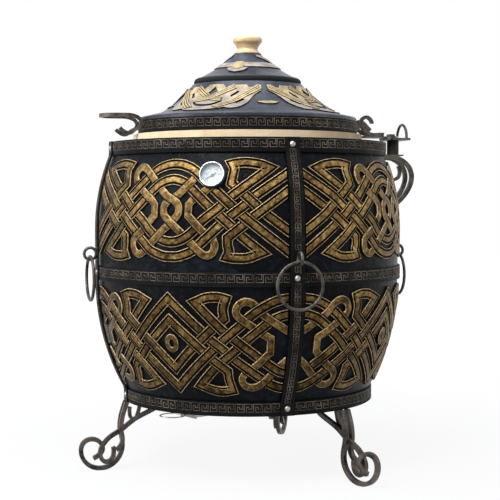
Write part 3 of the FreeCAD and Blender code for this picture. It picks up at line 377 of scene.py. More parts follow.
def find_crossings(straps):
    """Notes every crossing on both straps, then lets each strap go over and under in turn."""
    found = []
    for i, one in enumerate(straps):
        for j in range(i, len(straps)):
            two = straps[j]
            ends_1 = len(one.line) - (0 if one.closed else 1)
            ends_2 = len(two.line) - (0 if two.closed else 1)
            for a in range(ends_1):
                p, p2 = one.line[a], one.line[(a + 1) % len(one.line)]
                r = (p2[0] - p[0], p2[1] - p[1])
                for b in range(a + 3 if i == j else 0, ends_2):
                    q, q2 = two.line[b], two.line[(b + 1) % len(two.line)]
                    if max(abs(q[0] - p[0]), abs(q[1] - p[1])) > LONGEST_STEP:
                        continue
                    if i == j and one.closed and a + len(one.line) - b < 3:
                        continue
                    s = (q2[0] - q[0], q2[1] - q[1])
                    bottom = r[0] * s[1] - r[1] * s[0]
                    if abs(bottom) < 1e-9:
                        continue
                    t = ((q[0] - p[0]) * s[1] - (q[1] - p[1]) * s[0]) / bottom
                    u = ((q[0] - p[0]) * r[1] - (q[1] - p[1]) * r[0]) / bottom
                    if 0 <= t < 1 and 0 <= u < 1:
                        found.append((i, a + t, j, b + u, Vector((p[0] + r[0] * t, p[1] + r[1] * t)),
                                      Vector(r).normalized(), Vector(s).normalized()))
    for number, (i, a, j, b, point, along_i, along_j) in enumerate(found):
        straps[i].crossings.append([a, number, point, along_j, straps[j].half])
        straps[j].crossings.append([b, number, point, along_i, straps[i].half])
    order = {}
    for index, strap in enumerate(straps):
        strap.crossings.sort(key=lambda c: c[0])
        for rank, crossing in enumerate(strap.crossings):
            order.setdefault(crossing[1], []).append((index, rank))
    state = {0: 0}
    queue = [0]
    while queue:
        index = queue.pop()
        for rank, crossing in enumerate(straps[index].crossings):
            one, two = order[crossing[1]]
            other, other_rank = two if one == (index, rank) else one
            over = (state[index] + rank) % 2 == 0
            if other not in state:
                state[other] = (other_rank + (1 if over else 0)) % 2
                queue.append(other)
    for index, strap in enumerate(straps):
        for rank, crossing in enumerate(strap.crossings):
            crossing.append((state.get(index, 0) + rank) % 2 == 0)


def visible_stretches(strap, edge_lines, gap, flip, ring):
    """Where each visible stretch of a strap starts and ends on every edge line, and whether it is a ring."""
    count = len(strap.line)
    cuts = []
    for place, _, point, direction, half, over in strap.crossings:
        if over == flip:
            cuts.append((place, point, direction, half + gap))
    for x, clear in edge_lines:
        for k in range(count - 1):
            a, b = strap.line[k][0], strap.line[k + 1][0]
            if (a - x) * (b - x) <= 0 and a != b:
                f = (x - a) / (b - a)
                y = strap.line[k][1] * (1 - f) + strap.line[k + 1][1] * f
                cuts.append((k + f, Vector((x, y)), (0, 1), clear))
    cuts.sort(key=lambda c: c[0])
    offsets = [offset * strap.half for offset, _, _ in strap.section]

    def edges_of(cut, way, turn=0):
        place, point, direction, clear = cut
        return [strap.gap_end(place, offset, point, direction, way, clear) + turn for offset in offsets]

    if strap.closed:
        if not cuts:
            return [([0.0] * len(offsets), [float(count)] * len(offsets), True)]
        turns = [0] * (len(cuts) - 1) + [count]
        return [(edges_of(cut, 1), edges_of(after, -1, turn), False)
                for cut, after, turn in zip(cuts, cuts[1:] + cuts[:1], turns)]
    bounds = [None] + cuts + [None]
    if edge_lines:
        bounds = cuts
    stretches = []
    for cut, after in zip(bounds, bounds[1:]):
        start = edges_of(cut, 1) if cut else [0.0] * len(offsets)
        end = edges_of(after, -1) if after else [count - 1.0] * len(offsets)
        stretches.append((start, end, ring))
    return stretches


def lay_strap(mesh, strap, place_at, edge_lines=(), gap=1.8, flip=False, ring=False):
    """Builds the visible stretches of one strap, which stops at the edge lines; a ring has no ends."""
    x, y = strap.line[0]
    here = place_at(x, y, 0)
    along, upward = place_at(x + 1, y, 0) - here, place_at(x, y + 1, 0) - here
    outward = place_at(x, y, 1) - here
    left_handed = along.cross(upward).dot(outward) < 0
    for start, end, loop in visible_stretches(strap, edge_lines, gap, flip, ring):
        first, last = max(start), min(end)
        if min(e - s for s, e in zip(start, end)) < SHORTEST_STRETCH:
            continue
        inner = [k for k in range(math.floor(first) + 1, math.ceil(last))
                 if first + ROW_CLEAR < k < last - ROW_CLEAR]
        rows = [start] + [[float(k)] * len(start) for k in inner] + ([] if loop else [end])
        grid = []
        for row in rows:
            line = []
            for place, (share, lift, _) in zip(row, strap.section):
                x, y = strap.at(place, share * strap.half)
                line.append(mesh.verts.new(place_at(x, y, lift)))
            grid.append(line)
        if loop:
            grid.append(grid[0])
        for one, two in zip(grid, grid[1:]):
            for k, (_, _, paint) in enumerate(strap.section[:-1]):
                corners = (one[k], two[k], two[k + 1], one[k + 1])
                face = mesh.faces.new(corners[::-1] if left_handed else corners)
                face.material_index = paint
                face.smooth = True
        if not loop:
            for line, turned in ((grid[0], left_handed), (grid[-1], not left_handed)):
                face = mesh.faces.new(line[::-1] if turned else line)
                face.material_index = GROOVE


def finish_relief(name, mesh, finishes, sharp=50):
    """Makes the laid straps one object and gives it its paints."""
    data = bpy.data.meshes.new(name)
    mesh.to_mesh(data)
    mesh.free()
    piece = bpy.data.objects.new(name, data)
    bpy.context.scene.collection.objects.link(piece)
    for finish in finishes:
        data.materials.append(finish.material)
    bpy.ops.object.select_all(action="DESELECT")
    piece.select_set(True)
    bpy.context.view_layer.objects.active = piece
    bpy.ops.object.shade_smooth_by_angle(angle=math.radians(sharp))
    return piece


# section: (share of the half width, height in mm, paint of the face up to the next point)
DOUBLE_STRAP = [
    (-1.0, -0.8, GROOVE), (-0.98, 2.7, EDGE), (-0.95, 3.8, EDGE), (-0.85, 4.1, GROOVE), (-0.81, 3.2, GROOVE),
    (-0.78, 0.6, GROOVE), (-0.53, 0.6, GROOVE), (-0.50, 3.2, GOLD), (-0.43, 4.4, GOLD), (0.0, 4.7, GOLD),
    (0.43, 4.4, GOLD), (0.50, 3.2, GROOVE), (0.53, 0.6, GROOVE), (0.78, 0.6, GROOVE), (0.81, 3.2, GROOVE),
    (0.85, 4.1, EDGE), (0.95, 3.8, EDGE), (0.98, 2.7, GROOVE), (1.0, -0.8, GROOVE),
]
FLAT_STRAP = [
    (-1.0, -0.8, GROOVE), (-0.97, 3.0, EDGE), (-0.90, 4.2, EDGE), (-0.80, 4.7, GOLD), (-0.4, 5.2, GOLD),
    (0.0, 5.3, GOLD), (0.4, 5.2, GOLD), (0.80, 4.7, EDGE), (0.90, 4.2, EDGE), (0.97, 3.0, GROOVE),
    (1.0, -0.8, GROOVE),
]
DOUBLE_HALF, FLAT_HALF, RING_HALF = 10.4, 7.5, 5.0
UPRIGHT_CLEAR = 17          # mm from an upright strap's middle to where the clay straps stop
DEGREE = math.pi / 180 * 315        # mm round the barrel for one degree, where the frieze is drawn flat

gold = Finish("old_gold_paint", Metallic=0.82, Specular_IOR_Level=0.2)
mottle = gold.noise(120, 4, 0.65)
blotch = gold.noise(22, 3)
flecks = gold.noise(300, 2, 0.6)
# the gold's tone wanders at random, and it is painted darker towards the bottom of the barrel: a painted
# shade
gold_tone_and_low_shade = mottle * 0.6 + blotch * 0.4 - gold.z.between(0.6, 0.2, 0.0, 0.06)
gold_base = gold_tone_and_low_shade.colours(
    (0.36, (0.020, 0.011, 0.004)), (0.47, (0.100, 0.058, 0.019)), (0.58, (0.25, 0.160, 0.056)),
    (0.74, (0.58, 0.42, 0.19)))
gold.set("Base Color", gold_base.covered((0.06, 0.033, 0.012), flecks.between(0.6, 0.72, 0.0, 0.7)))
gold.set("Roughness", mottle.between(0.3, 0.7, 0.30, 0.5))
gold.bump(mottle * 0.6 + flecks * 0.4, 0.0016, 1.0)

groove = Finish("black_groove_paint", Specular_IOR_Level=0.06)
groove.mottled((160, 3), ((0.3, (0.005, 0.004, 0.004)), (0.8, (0.022, 0.016, 0.012))), (0.5, 0.75),
               ends=(0.2, 0.8))

edge = Finish("rubbed_pale_edge", Metallic=0.3, Specular_IOR_Level=0.3)
edge.mottled((210, 3), ((0.3, (0.12, 0.075, 0.030)), (0.45, (0.30, 0.205, 0.095)),
                        (0.62, (0.50, 0.38, 0.20))), (0.4, 0.6), 0.0005)


def mirrored(points):
    """The other half of a strap, from its far end up to the middle of the panel."""
    return [(-x, *rest) for x, *rest in reversed(points)]


def both_halves(points):
    """A whole strap from its right half, which starts at the middle of the panel."""
    return mirrored(points)[:-1] + points


# half straps of the upper frieze: degrees from the middle of the ring knot, height in mm
ring_outer_top = [
    (0, 635), (2.5, 634), (5, 630.3), (7, 625.7), (9, 618.5), (12, 604.3), (15.7, 585.7), (21.6, 555.9),
    (25.3, 537.7), (41.1, 468), (44, 455),
]
ring_inner_top = [
    (0, 605.8), (2.6, 603.5), (5, 598), (7, 589.7), (13.7, 555.7), (17.4, 537.7), (21.6, 517.1),
    (24.8, 499.3), (31.8, 467.3, SHARP), (27, 457.5), (22, 457), (20, 459.3, SHARP), (20.8, 470),
    (20.4, 479), (20.3, 495.4, SHARP), (25.3, 518), (29.5, 537.1), (41.1, 583.5), (44, 595),
]
ring_inner_low = [
    (0, 486.5), (2.8, 488.9), (5.5, 495.7), (8.5, 508.6), (11.1, 525), (17.9, 555), (21.8, 574.6),
    (35.0, 627, SHARP), (32, 633.2), (27, 637.1), (23.7, 636.3), (21.5, 634, SHARP), (22.3, 625),
    (22, 615), (21.4, 598, SHARP), (25.7, 578.2), (30.2, 555.9), (33.6, 538.9), (41.1, 507.7), (44, 496),
]
ring_outer_low = [
    (0, 458.4), (2.6, 459), (4.6, 462.1), (7.8, 469.3), (10.6, 482.7), (17.5, 518), (21.5, 537.5),
    (25.8, 555.4), (29.9, 575.5), (41.1, 616), (44, 626),
]
ring_loop = [
    (7.9, 605.5), (10.6, 619), (12.9, 628.5), (14.5, 630), (16.2, 625.5), (16.9, 616), (16.3, 604),
    (14.1, 592), (11, 578), (8.0, 567, SHARP), (6.6, 557.5, SHARP), (6.5, 537, SHARP), (11.7, 507.7),
    (14.5, 497), (15.8, 488), (15.9, 478), (15.1, 467), (13.4, 461.5), (11.6, 464.5), (7.5, 485.4),
    (3.9, 504.6), (-1.9, 533.5), (-2.75, 541), (-2.95, 549), (-2.6, 557), (-1.5, 564), (1.9, 574.6),
]

# half straps of the lower frieze: degrees from the middle of the nested diamonds
diamond_outer_top = [
    (0.0, 377.7, SHARP), (11.75, 318.2), (15.3, 300), (19.8, 280.7), (24, 260.7), (33.1, 226), (36.4, 215),
    (40.4, 206), (45.4, 202.5), (48, 202.5),
]
diamond_outer_low = [
    (0.0, 202, SHARP), (15.5, 277.7), (19.7, 299.1), (26.5, 331.3), (29.5, 347), (33.5, 362.5),
    (38.3, 375.5), (42.4, 380), (45.4, 381), (48, 381),
]
diamond_inner_top = [
    (0.0, 336.2, SHARP), (11.9, 279), (15.5, 261.3), (21.1, 238.6, SHARP), (21.4, 221),
    (22.6, 200.4, SHARP), (18.7, 197), (14.3, 200.4), (9.8, 209, SHARP), (12.9, 226.4), (15.5, 240.5),
    (19.8, 260.4), (24.1, 280), (27.8, 298.8), (35.2, 331.8), (38, 342), (41.5, 348.5), (45.4, 350),
    (48, 350),
]
diamond_inner_low = [
    (0.0, 241, SHARP), (7.6, 280), (11.4, 298.2), (15.5, 318.8), (20.4, 342, SHARP), (20.0, 360.7),
    (21.0, 379, SHARP), (18.4, 382.7), (14.3, 381.3), (10.1, 371.8, SHARP), (19.7, 318.8), (24, 300.5),
    (32, 267), (35.5, 254), (39.5, 240), (42.4, 234.5), (45.4, 233), (48, 233),
]
strap_loop = [
    (45.4, 308), (42.3, 318.7), (34, 349), (31.4, 365), (29.6, 372.5), (27.6, 375), (25.8, 370.5),
    (24.7, 362), (24.5, 354), (25.2, 346.3), (30, 326.8), (33.2, 314, SHARP), (36.6, 303.5, SHARP),
    (36.6, 275.5, SHARP), (30.8, 246.4), (27.7, 235), (26.5, 226), (26.5, 218), (27.8, 209), (30, 205.8),
    (32, 207.5), (33.8, 213), (36.6, 227), (41.9, 256.5), (45.4, 268),
]
oval_ring = [
    (1.91, 290.7), (1.35, 300.1), (0, 304), (-1.35, 300.1), (-1.91, 290.7), (-1.35, 281.3), (0, 277.4),
    (1.35, 281.3),
]


def lay_frieze(name, panels, open_straps, loops, ring=None, flip=False):
    """Lays one frieze round the barrel: each panel runs from strap to strap round its own middle."""
    mesh = bmesh.new()
    half_turn = FRONT_STRAP - panels[0][1]
    for left, middle, right in panels:
        def widened(points):
            return [(x * (right - middle if x > 0 else middle - left) / half_turn * DEGREE, *rest)
                    for x, *rest in points]

        def on_panel(x, y, lift):
            return on_barrel(middle + x / DEGREE, y, lift)

        straps = [Strap(widened(both_halves(line)), DOUBLE_HALF, DOUBLE_STRAP) for line in open_straps]
        for loop, closed in loops:
            straps += [Strap(widened(side), FLAT_HALF, FLAT_STRAP, closed) for side in (loop, mirrored(loop))]
        find_crossings(straps)
        edges = [((right - middle) * DEGREE, UPRIGHT_CLEAR), ((left - middle) * DEGREE, UPRIGHT_CLEAR)]
        for strap in straps:
            lay_strap(mesh, strap, on_panel, () if strap.closed else edges, flip=flip)
        if ring:
            lay_strap(mesh, Strap(widened(ring), RING_HALF, FLAT_STRAP, closed=True, step=3), on_panel)
    frieze = finish_relief(name, mesh, (gold, groove, edge))
    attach(frieze, "cooker")


def panels_round(*middles):
    """(left strap, middle, right strap) of the four panels, from the one left of the front strap."""
    uprights = [STRAP_TURNS[-1] - 360, *STRAP_TURNS]
    return list(zip(uprights, middles, uprights[1:]))


lay_frieze("upper_knotwork", panels_round(-27, 61, 150, 241),
           (ring_outer_top, ring_inner_top, ring_inner_low, ring_outer_low), [(ring_loop, True)], flip=True)
lay_frieze("lower_knotwork", panels_round(-28.4, 62.4, 150, 242.4),
           (diamond_outer_top, diamond_outer_low, diamond_inner_top, diamond_inner_low),
           [(strap_loop, False)], ring=oval_ring)


# ---------------------------------------------------------------- hoops and straps
# Strip steel rolled with a key pattern between ridges and painted bronze-black; the raised key is
# rubbed brown-grey. Three hoops hold the clay, four upright straps are riveted over them.
hoop_steel = Finish("embossed_strip_steel", Metallic=0.08, Specular_IOR_Level=0.08)
strip_noise = hoop_steel.noise(70, 4, 0.6)
strip_fine = hoop_steel.noise(380, 2)
hoop_steel.set("Base Color", (strip_noise * 0.7 + strip_fine * 0.3).colours(
    (0.35, (0.0025, 0.0023, 0.0023)), (0.55, (0.0055, 0.005, 0.005)), (0.75, (0.02, 0.017, 0.0155))))
hoop_steel.set("Roughness", strip_noise.between(0.3, 0.7, 0.38, 0.56))
hoop_steel.bump(strip_noise * 0.5 + strip_fine * 0.5, 0.0005)
hoop_steel.dress("bottom_hoop", "middle_hoop", "top_hoop", "hoop_straps", "lid_band")

key_steel = Finish("rubbed_key_pattern", Metallic=0.6, Specular_IOR_Level=0.3)
key_steel.mottled((45, 4, 0.6), ((0.34, (0.020, 0.016, 0.012)), (0.5, (0.085, 0.068, 0.052)),
                                 (0.7, (0.21, 0.172, 0.132))), (0.34, 0.5))

KEY, RIDGE = 0, 1
KEY_HALF, KEY_TALL, KEY_PITCH, KEY_LOW = 0.66, 15.6, 18.0, 9.0
HOOP_RIDGES = (26.9, 0.7), (6.2, 0.8), (3.6, 0.7), (1.3, 0.9)       # height and half width in mm
KEY_SECTION = [(-1.0, -0.3, KEY), (-0.7, 0.7, KEY), (0.0, 0.85, KEY), (0.7, 0.7, KEY), (1.0, -0.3, KEY)]
RIDGE_SECTION = [
    (-1.0, -0.3, RIDGE), (-0.55, 0.8, RIDGE), (0.0, 1.0, RIDGE), (0.55, 0.8, RIDGE), (1.0, -0.3, RIDGE),
]


def key_lines(pitch, tall):
    """One square spiral of the running key pattern, up to where the next one begins."""
    corners = ((0, 1), (0.86, 1), (0.82, 0.38), (0.5, 0.38), (0.5, 0.64), (0.25, 0.64), (0.25, 0), (1, 0),
               (1, 1))
    return [(x * pitch, y * tall, SHARP) for x, y in corners]


def press_pattern(mesh, place_at, length, pitch, tall, low, ridges, ring=True):
    """Presses the key pattern and its ridges along a strip, which closes on itself when it is a ring."""
    count = round(length / pitch)
    pitch = length / count
    for k in range(count):
        moved = [(k * pitch + x, low + y, *rest) for x, y, *rest in key_lines(pitch, tall)]
        lay_strap(mesh, Strap(moved, KEY_HALF, KEY_SECTION, step=6), place_at)
    for height, half in ridges:
        line = Strap([(0, height), (length, height)], half, RIDGE_SECTION, step=8)
        lay_strap(mesh, line, place_at, ring=ring)


def press_hoop(mesh, hoop, start=0.0, pitch=KEY_PITCH, low=KEY_LOW, ridges=HOOP_RIDGES):
    """Presses the pattern all round one hoop, whose radius and foot come from the solid hoop."""
    lowest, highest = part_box(hoop)
    radius, foot = highest.x / MM, lowest.z / MM

    def on_hoop(x, y, lift):
        return round_axis(start + math.degrees(x / radius), radius + lift, foot + y)

    press_pattern(mesh, on_hoop, 2 * math.pi * radius, pitch, KEY_TALL, low, ridges)


mesh = bmesh.new()
for hoop in ("bottom_hoop", "middle_hoop", "top_hoop"):
    press_hoop(mesh, hoop, FRONT_STRAP + 1)
hoop_keys = finish_relief("hoop_key_pattern", mesh, (key_steel, hoop_steel), 40)
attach(hoop_keys, "cooker")

# the same strip, stood on end, over the hoops: its outer face is found on the solid strap, every
# millimetre up a line beside its rivets
STRAP_LOW, STRAP_TOP, STRAP_HALF = 146, 686, 14
BESIDE_RIVETS = 9.5 * MM
PATTERNED = (168, 409), (427, 441), (470, 665)      # from and to, in mm, between the rivets and the ring
UPRIGHT_PITCH, UPRIGHT_TALL, UPRIGHT_LOW = 12.6, 11.4, 8.3
UPRIGHT_RIDGES = (23.6, 0.7), (4.4, 0.7)

strap_face = BVHTree.FromPolygons(
    [v.co for v in node["hoop_straps"].data.vertices],
    [p.vertices for p in node["hoop_straps"].data.polygons])
mesh = bmesh.new()
for turn in STRAP_TURNS:
    outwards, across = round_axis(turn, 1, 0).normalized(), round_axis(turn + 90, 1, 0).normalized()
    reaches = []
    for height in range(STRAP_LOW, STRAP_TOP + 1):
        start = outwards * 0.5 + across * BESIDE_RIVETS + Vector((0, 0, height * MM))
        reaches.append(strap_face.ray_cast(start, -outwards)[0].dot(outwards))

    def on_upright(x, y, lift):
        place = min(max(x, STRAP_LOW + 1), STRAP_TOP - 1) - STRAP_LOW
        low = math.floor(place)
        reach = reaches[low] * (1 - place + low) + reaches[low + 1] * (place - low)
        slope = (reaches[min(low + 4, len(reaches) - 2)] - reaches[max(low - 4, 1)]) / (8 * MM)
        long = math.sqrt(1 + slope * slope)
        return (outwards * (reach + lift * MM / long) + across * (y * MM)
                + Vector((0, 0, STRAP_LOW + place - lift * slope / long)) * MM)

    for first, last in PATTERNED:
        press_pattern(mesh, lambda x, y, lift: on_upright(first + x, y - STRAP_HALF, lift), last - first,
                      UPRIGHT_PITCH, UPRIGHT_TALL, UPRIGHT_LOW, UPRIGHT_RIDGES, ring=False)
strap_keys = finish_relief("strap_key_pattern", mesh, (key_steel, hoop_steel), 40)
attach(strap_keys, "cooker")


# ---------------------------------------------------------------- rivets, bolt and other bright steel
# Dome-headed rivets through strap, hoop and clay, left bright and a little dented by the hammer. The
# hinge's pin and bolt and the knob's stud are the same steel, and the tray's pull ring is drawn wire.
bright = Finish("hammered_bright_steel", Metallic=1.0)
bright.mottled((60, 3), ((0.3, (0.16, 0.14, 0.11)), (0.7, (0.42, 0.38, 0.32))), (0.24, 0.42))
bright.bump(bright.cells(260), 0.0006, 0.6)
bright.dress("strap_rivets", "hinge_pin", "hinge_plate_bolt", "knob_stud", "knob_nut",
             "terminal_cover_screws", "thermometer_stem", "tray_ring_staple")

wire = Finish("bright_wire", Metallic=1.0)
wire.mottled((90, 3), ((0.3, (0.66, 0.64, 0.60)), (0.7, (0.88, 0.87, 0.84))), (0.25, 0.4))
wire.dress("tray_pull_ring")


# ---------------------------------------------------------------- forged bar work
# Square and round bar, bent hot and hammered, with a thin brown-black paint that the corners and
# the hammered flats show through. Legs, braces, rings, handle and hinge share it.
def forged_finish(name, dark, light):
    finish = Finish(name, Metallic=0.7, Specular_IOR_Level=0.5)
    hammer = finish.cells(75, "SMOOTH_F1")
    scale = finish.noise(140, 4, 0.6)
    rub = finish.noise(38, 3)
    finish.set("Base Color", (rub * 0.6 + scale * 0.4).colours(
        (0.38, dark), (0.55, tuple((a + b) / 2 for a, b in zip(dark, light))), (0.72, light)))
    finish.set("Roughness", scale.between(0.3, 0.7, 0.30, 0.52))
    finish.bump(hammer * 0.8 + scale * 0.25, 0.0016, 0.9)
    return finish


forged = forged_finish("forged_brown_black_bar", (0.018, 0.015, 0.013), (0.15, 0.125, 0.105))
forged.dress("leg_scroll_left", "leg_scroll_right", "leg_scroll_rear", "leg_braces", "leg_tie_bars",
             "leg_curls", "lid_handle", "lid_scroll_front", "lid_scroll_rear", "lid_hinge_lug", "hinge_leaf",
             "hinge_base_plate", "hinge_clamp_block", "lid_stop_hoop", "hinge_lower_plate",
             "hinge_bracket_bars", "hinge_bracket_curl", "knob_plate")
ring_iron = forged_finish("forged_grey_ring_bar", (0.018, 0.0155, 0.013), (0.14, 0.118, 0.097))
ring_iron.dress("ring_eyelets", "carrying_ring_front", "carrying_ring_right", "carrying_ring_rear",
                "carrying_ring_left")

black_steel = Finish("black_plate_paint", Specular_IOR_Level=0.15)
black_steel.mottled((110, 4), ((0.3, (0.006, 0.006, 0.006)), (0.75, (0.028, 0.026, 0.025))),
                    (0.38, 0.58), 0.0006)
black_steel.dress("base_plate", "hinge_post")

# ---------------------------------------------------------------- hearth, element and what is under the base
# A cast grate over the crumb hole, a tubular element on clips, and zinc-plated sheet for the
# terminal box, the rails and the crumb tray.
cast = Finish("cast_iron", Metallic=0.6)
cast.mottled((180, 4), ((0.3, (0.02, 0.02, 0.021)), (0.7, (0.06, 0.058, 0.056))), (0.55, 0.75), 0.001)
cast.dress("hearth_grate")

sheath = Finish("heat_tinted_sheath", Metallic=0.9)
sheath.mottled((30, 3), ((0.3, (0.10, 0.075, 0.06)), (0.55, (0.2, 0.16, 0.13)), (0.7, (0.16, 0.15, 0.17))),
               (0.35, 0.55))
sheath.dress("heating_element", "element_saddles")

zinc = Finish("zinc_plated_sheet", Metallic=0.9)
zinc_noise = zinc.noise(25, 3)
zinc.set("Base Color", (zinc.cells(130) * 0.4 + zinc_noise * 0.6).colours(
    (0.25, (0.32, 0.33, 0.34)), (0.7, (0.52, 0.53, 0.54))))
zinc.set("Roughness", zinc_noise.between(0.3, 0.7, 0.35, 0.55))
zinc.dress("terminal_box", "terminal_cover", "tray_rails", "crumb_tray")

white_ware = Finish("unglazed_steatite")
white_ware.mottled((200, 3), ((0.3, (0.68, 0.65, 0.59)), (0.7, (0.80, 0.78, 0.73))), (0.6, 0.75), 0.0003)
white_ware.dress("element_bushings", "terminal_block")

nickel_brass = Finish("nickel_plated_brass", Metallic=1.0)
nickel_brass.mottled((60, 3), ((0.3, (0.60, 0.55, 0.42)), (0.7, (0.72, 0.68, 0.55))), (0.22, 0.36))
nickel_brass.dress("cable_gland", "gland_dome_nut")

copper = Finish("copper_lead", Metallic=1.0)
copper.mottled((120, 3), ((0.3, (0.55, 0.27, 0.16)), (0.7, (0.72, 0.40, 0.26))), (0.3, 0.45))
copper.dress("element_leads")

# ---------------------------------------------------------------- thermometer
# A deep cup of brushed steel with a white enamelled dial, black marks and a black pointer behind
# flat glass. It stands square to the leaning wall.
brushed = Finish("brushed_steel_case", Metallic=1.0)
brushed.mottled((90, 3, 0.6, 0.0, (1, 1, 14)), ((0.3, (0.30, 0.33, 0.36)), (0.7, (0.46, 0.49, 0.52))),
                (0.28, 0.42), 0.0002)
brushed.dress("thermometer_case")

enamel = Finish("white_dial_enamel", Coat_Weight=0.3)
enamel.mottled((140, 3), ((0.3, (0.43, 0.485, 0.52)), (0.7, (0.48, 0.54, 0.575))), (0.35, 0.45))
enamel.dress("thermometer_dial")

dial_black = Finish("dial_black")
dial_black.mottled((400, 2), ((0.3, (0.012, 0.012, 0.012)), (0.7, (0.03, 0.03, 0.03))), (0.4, 0.55))
dial_black.dress("thermometer_pointer")

lens = Finish("dial_glass", Base_Color=(0.96, 0.98, 0.98), Alpha=0.1)
lens.set("Roughness", lens.noise(40, 2).between(0.3, 0.7, 0.03, 0.06))
lens.dress("thermometer_lens")

# the scale is printed flat, round the middle of the dial, and then stood up on its face
DIAL_FACE = 4.42 * MM
SCALE_START, SCALE_SWEEP, SCALE_STEPS = 225, 270, 50        # degrees, degrees, marks
LAST_NUMBER, NUMBER_STEP = 5, 100
SCALE_RADIUS, NUMBER_RADIUS, NUMBER_SIZE = 19.2 * MM, 13.1 * MM, 4.6 * MM
INK = 0.06 * MM


def on_scale(share, radius):
    """The turn and the place of a share of the scale."""
    angle = math.radians(SCALE_START - SCALE_SWEEP * share)
    return angle, (radius * math.cos(angle), radius * math.sin(angle), 0)


bpy.ops.object.select_all(action="DESELECT")
marks = []
for k in range(SCALE_STEPS + 1):
    long, wide = (2.9, 0.34) if k % 10 == 0 else (1.7, 0.34) if k % 5 == 0 else (1.1, 0.2)
    angle, place = on_scale(k / SCALE_STEPS, SCALE_RADIUS - long / 2 * MM)
    bpy.ops.mesh.primitive_cube_add(
        size=1, location=place, rotation=(0, 0, angle), scale=(long * MM, wide * MM, INK))
    marks.append(bpy.context.object)
for k in range(LAST_NUMBER + 1):
    bpy.ops.object.text_add(location=on_scale(k / LAST_NUMBER, NUMBER_RADIUS)[1])
    number = bpy.context.object
    number.data.body = str(k * NUMBER_STEP)
    number.data.size = NUMBER_SIZE
    number.data.extrude = INK / 2
    number.data.align_x, number.data.align_y = "CENTER", "CENTER"
    bpy.ops.object.convert(target="MESH")
    marks.append(bpy.context.object)
bpy.ops.object.select_all(action="DESELECT")
for mark in marks:
    mark.select_set(True)
bpy.context.view_layer.objects.active = marks[0]
bpy.ops.object.join()
dial_marks = bpy.context.object
dial_marks.name = "dial_scale_marks"
bpy.ops.object.transform_apply(location=True, rotation=True, scale=True)
dial_right = Vector((math.cos(DIAL_TURN), math.sin(DIAL_TURN), 0))
stood_up = Matrix((dial_right, DIAL_OUT.cross(dial_right), DIAL_OUT)).transposed().to_4x4()
dial_marks.data.transform(Matrix.Translation(DIAL_FOOT + DIAL_OUT * DIAL_FACE) @ stood_up)
dial_marks.data.materials.clear()
dial_marks.data.materials.append(dial_black.material)
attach(dial_marks, "cooker")

# ---------------------------------------------------------------- lid
# A heavy clay lid, painted black on its cone with pale knot appliques, inside a band of the same
# key-pattern steel. Its foot, below the band, is bare clay.
LID_PAINT_FOOT = 0.7325
RIM_LOW, RIM_HIGH = 0.8105, 0.8225      # the small lid's edge, which stands in its own shade

# the lids' black is painted lighter and bluer than the barrel's: a painted reflection of the sky on their
# upward cones
lid_blacks_with_painted_sheen = (0.36, (0.007, 0.008, 0.012)), (0.56, (0.017, 0.021, 0.032)), (0.8, (0.045, 0.055, 0.078))
lid_finish = black_clay("painted_clay_lid", 0.3, *lid_blacks_with_painted_sheen)
clay_colour, clay_grain = bare_clay(lid_finish)
upwards = lid_finish.facing.make("ShaderNodeSeparateXYZ", {}, {0: lid_finish.facing}, out=2)
painted = (lid_finish.z > LID_PAINT_FOOT) * (upwards > -0.2)
lid_finish.set("Base Color", clay_colour.covered(lid_finish.black, painted))
lid_finish.set("Roughness", painted * (lid_finish.dull - CLAY_ROUGHNESS) + CLAY_ROUGHNESS)
lid_finish.bump(lid_finish.skin * painted + clay_grain * (1 - painted) * 0.25, 0.0014, 0.8)
lid_finish.dress("lid_shell")

top_finish = black_clay("painted_clay_vent_lid", 0.3, *lid_blacks_with_painted_sheen)
rim = (top_finish.z < RIM_HIGH) * (top_finish.z > RIM_LOW)
# the edge band is painted near black: a painted shade under the small lid's edge
top_finish.set("Base Color", top_finish.black.covered((0.002, 0.002, 0.0025), rim))
top_finish.set("Roughness", rim * 0.6 + top_finish.dull)
top_finish.bump(top_finish.skin, 0.0014, 0.8)
top_finish.dress("vent_lid")

mesh = bmesh.new()
press_hoop(mesh, "lid_band", pitch=17.6, low=8.6, ridges=((26.6, 0.7), (5.8, 0.8), (3.4, 0.7), (1.2, 0.8)))
band_keys = finish_relief("lid_band_key_pattern", mesh, (key_steel, hoop_steel), 40)
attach(band_keys, "lid")

pale_gold = Finish("pale_gold_paint", Metallic=0.2, Specular_IOR_Level=0.5)
pale_gold.mottled((60, 4, 0.6), ((0.32, (0.16, 0.115, 0.058)), (0.5, (0.31, 0.225, 0.11)),
                                 (0.7, (0.52, 0.39, 0.20))), (0.4, 0.58), 0.0007)

stone_grey = Finish("greyed_pale_paint", Metallic=0.1, Specular_IOR_Level=0.5)
stone_noise = stone_grey.noise(48, 4, 0.6)
stone_base = stone_noise.colours(
    (0.32, (0.13, 0.112, 0.098)), (0.5, (0.23, 0.195, 0.162)), (0.7, (0.36, 0.30, 0.225)))
stone_gold = stone_noise.colours(
    (0.32, (0.19, 0.135, 0.062)), (0.5, (0.34, 0.25, 0.12)), (0.7, (0.54, 0.42, 0.23)))
gilded = stone_grey.z.between(0.760, 0.795, 0.0, 0.85) * (stone_grey.z < 0.82)
stone_grey.set("Base Color", stone_base.covered(stone_gold, gilded))
stone_grey.set("Roughness", stone_noise.between(0.3, 0.7, 0.38, 0.55))
stone_grey.bump(stone_noise, 0.0007)

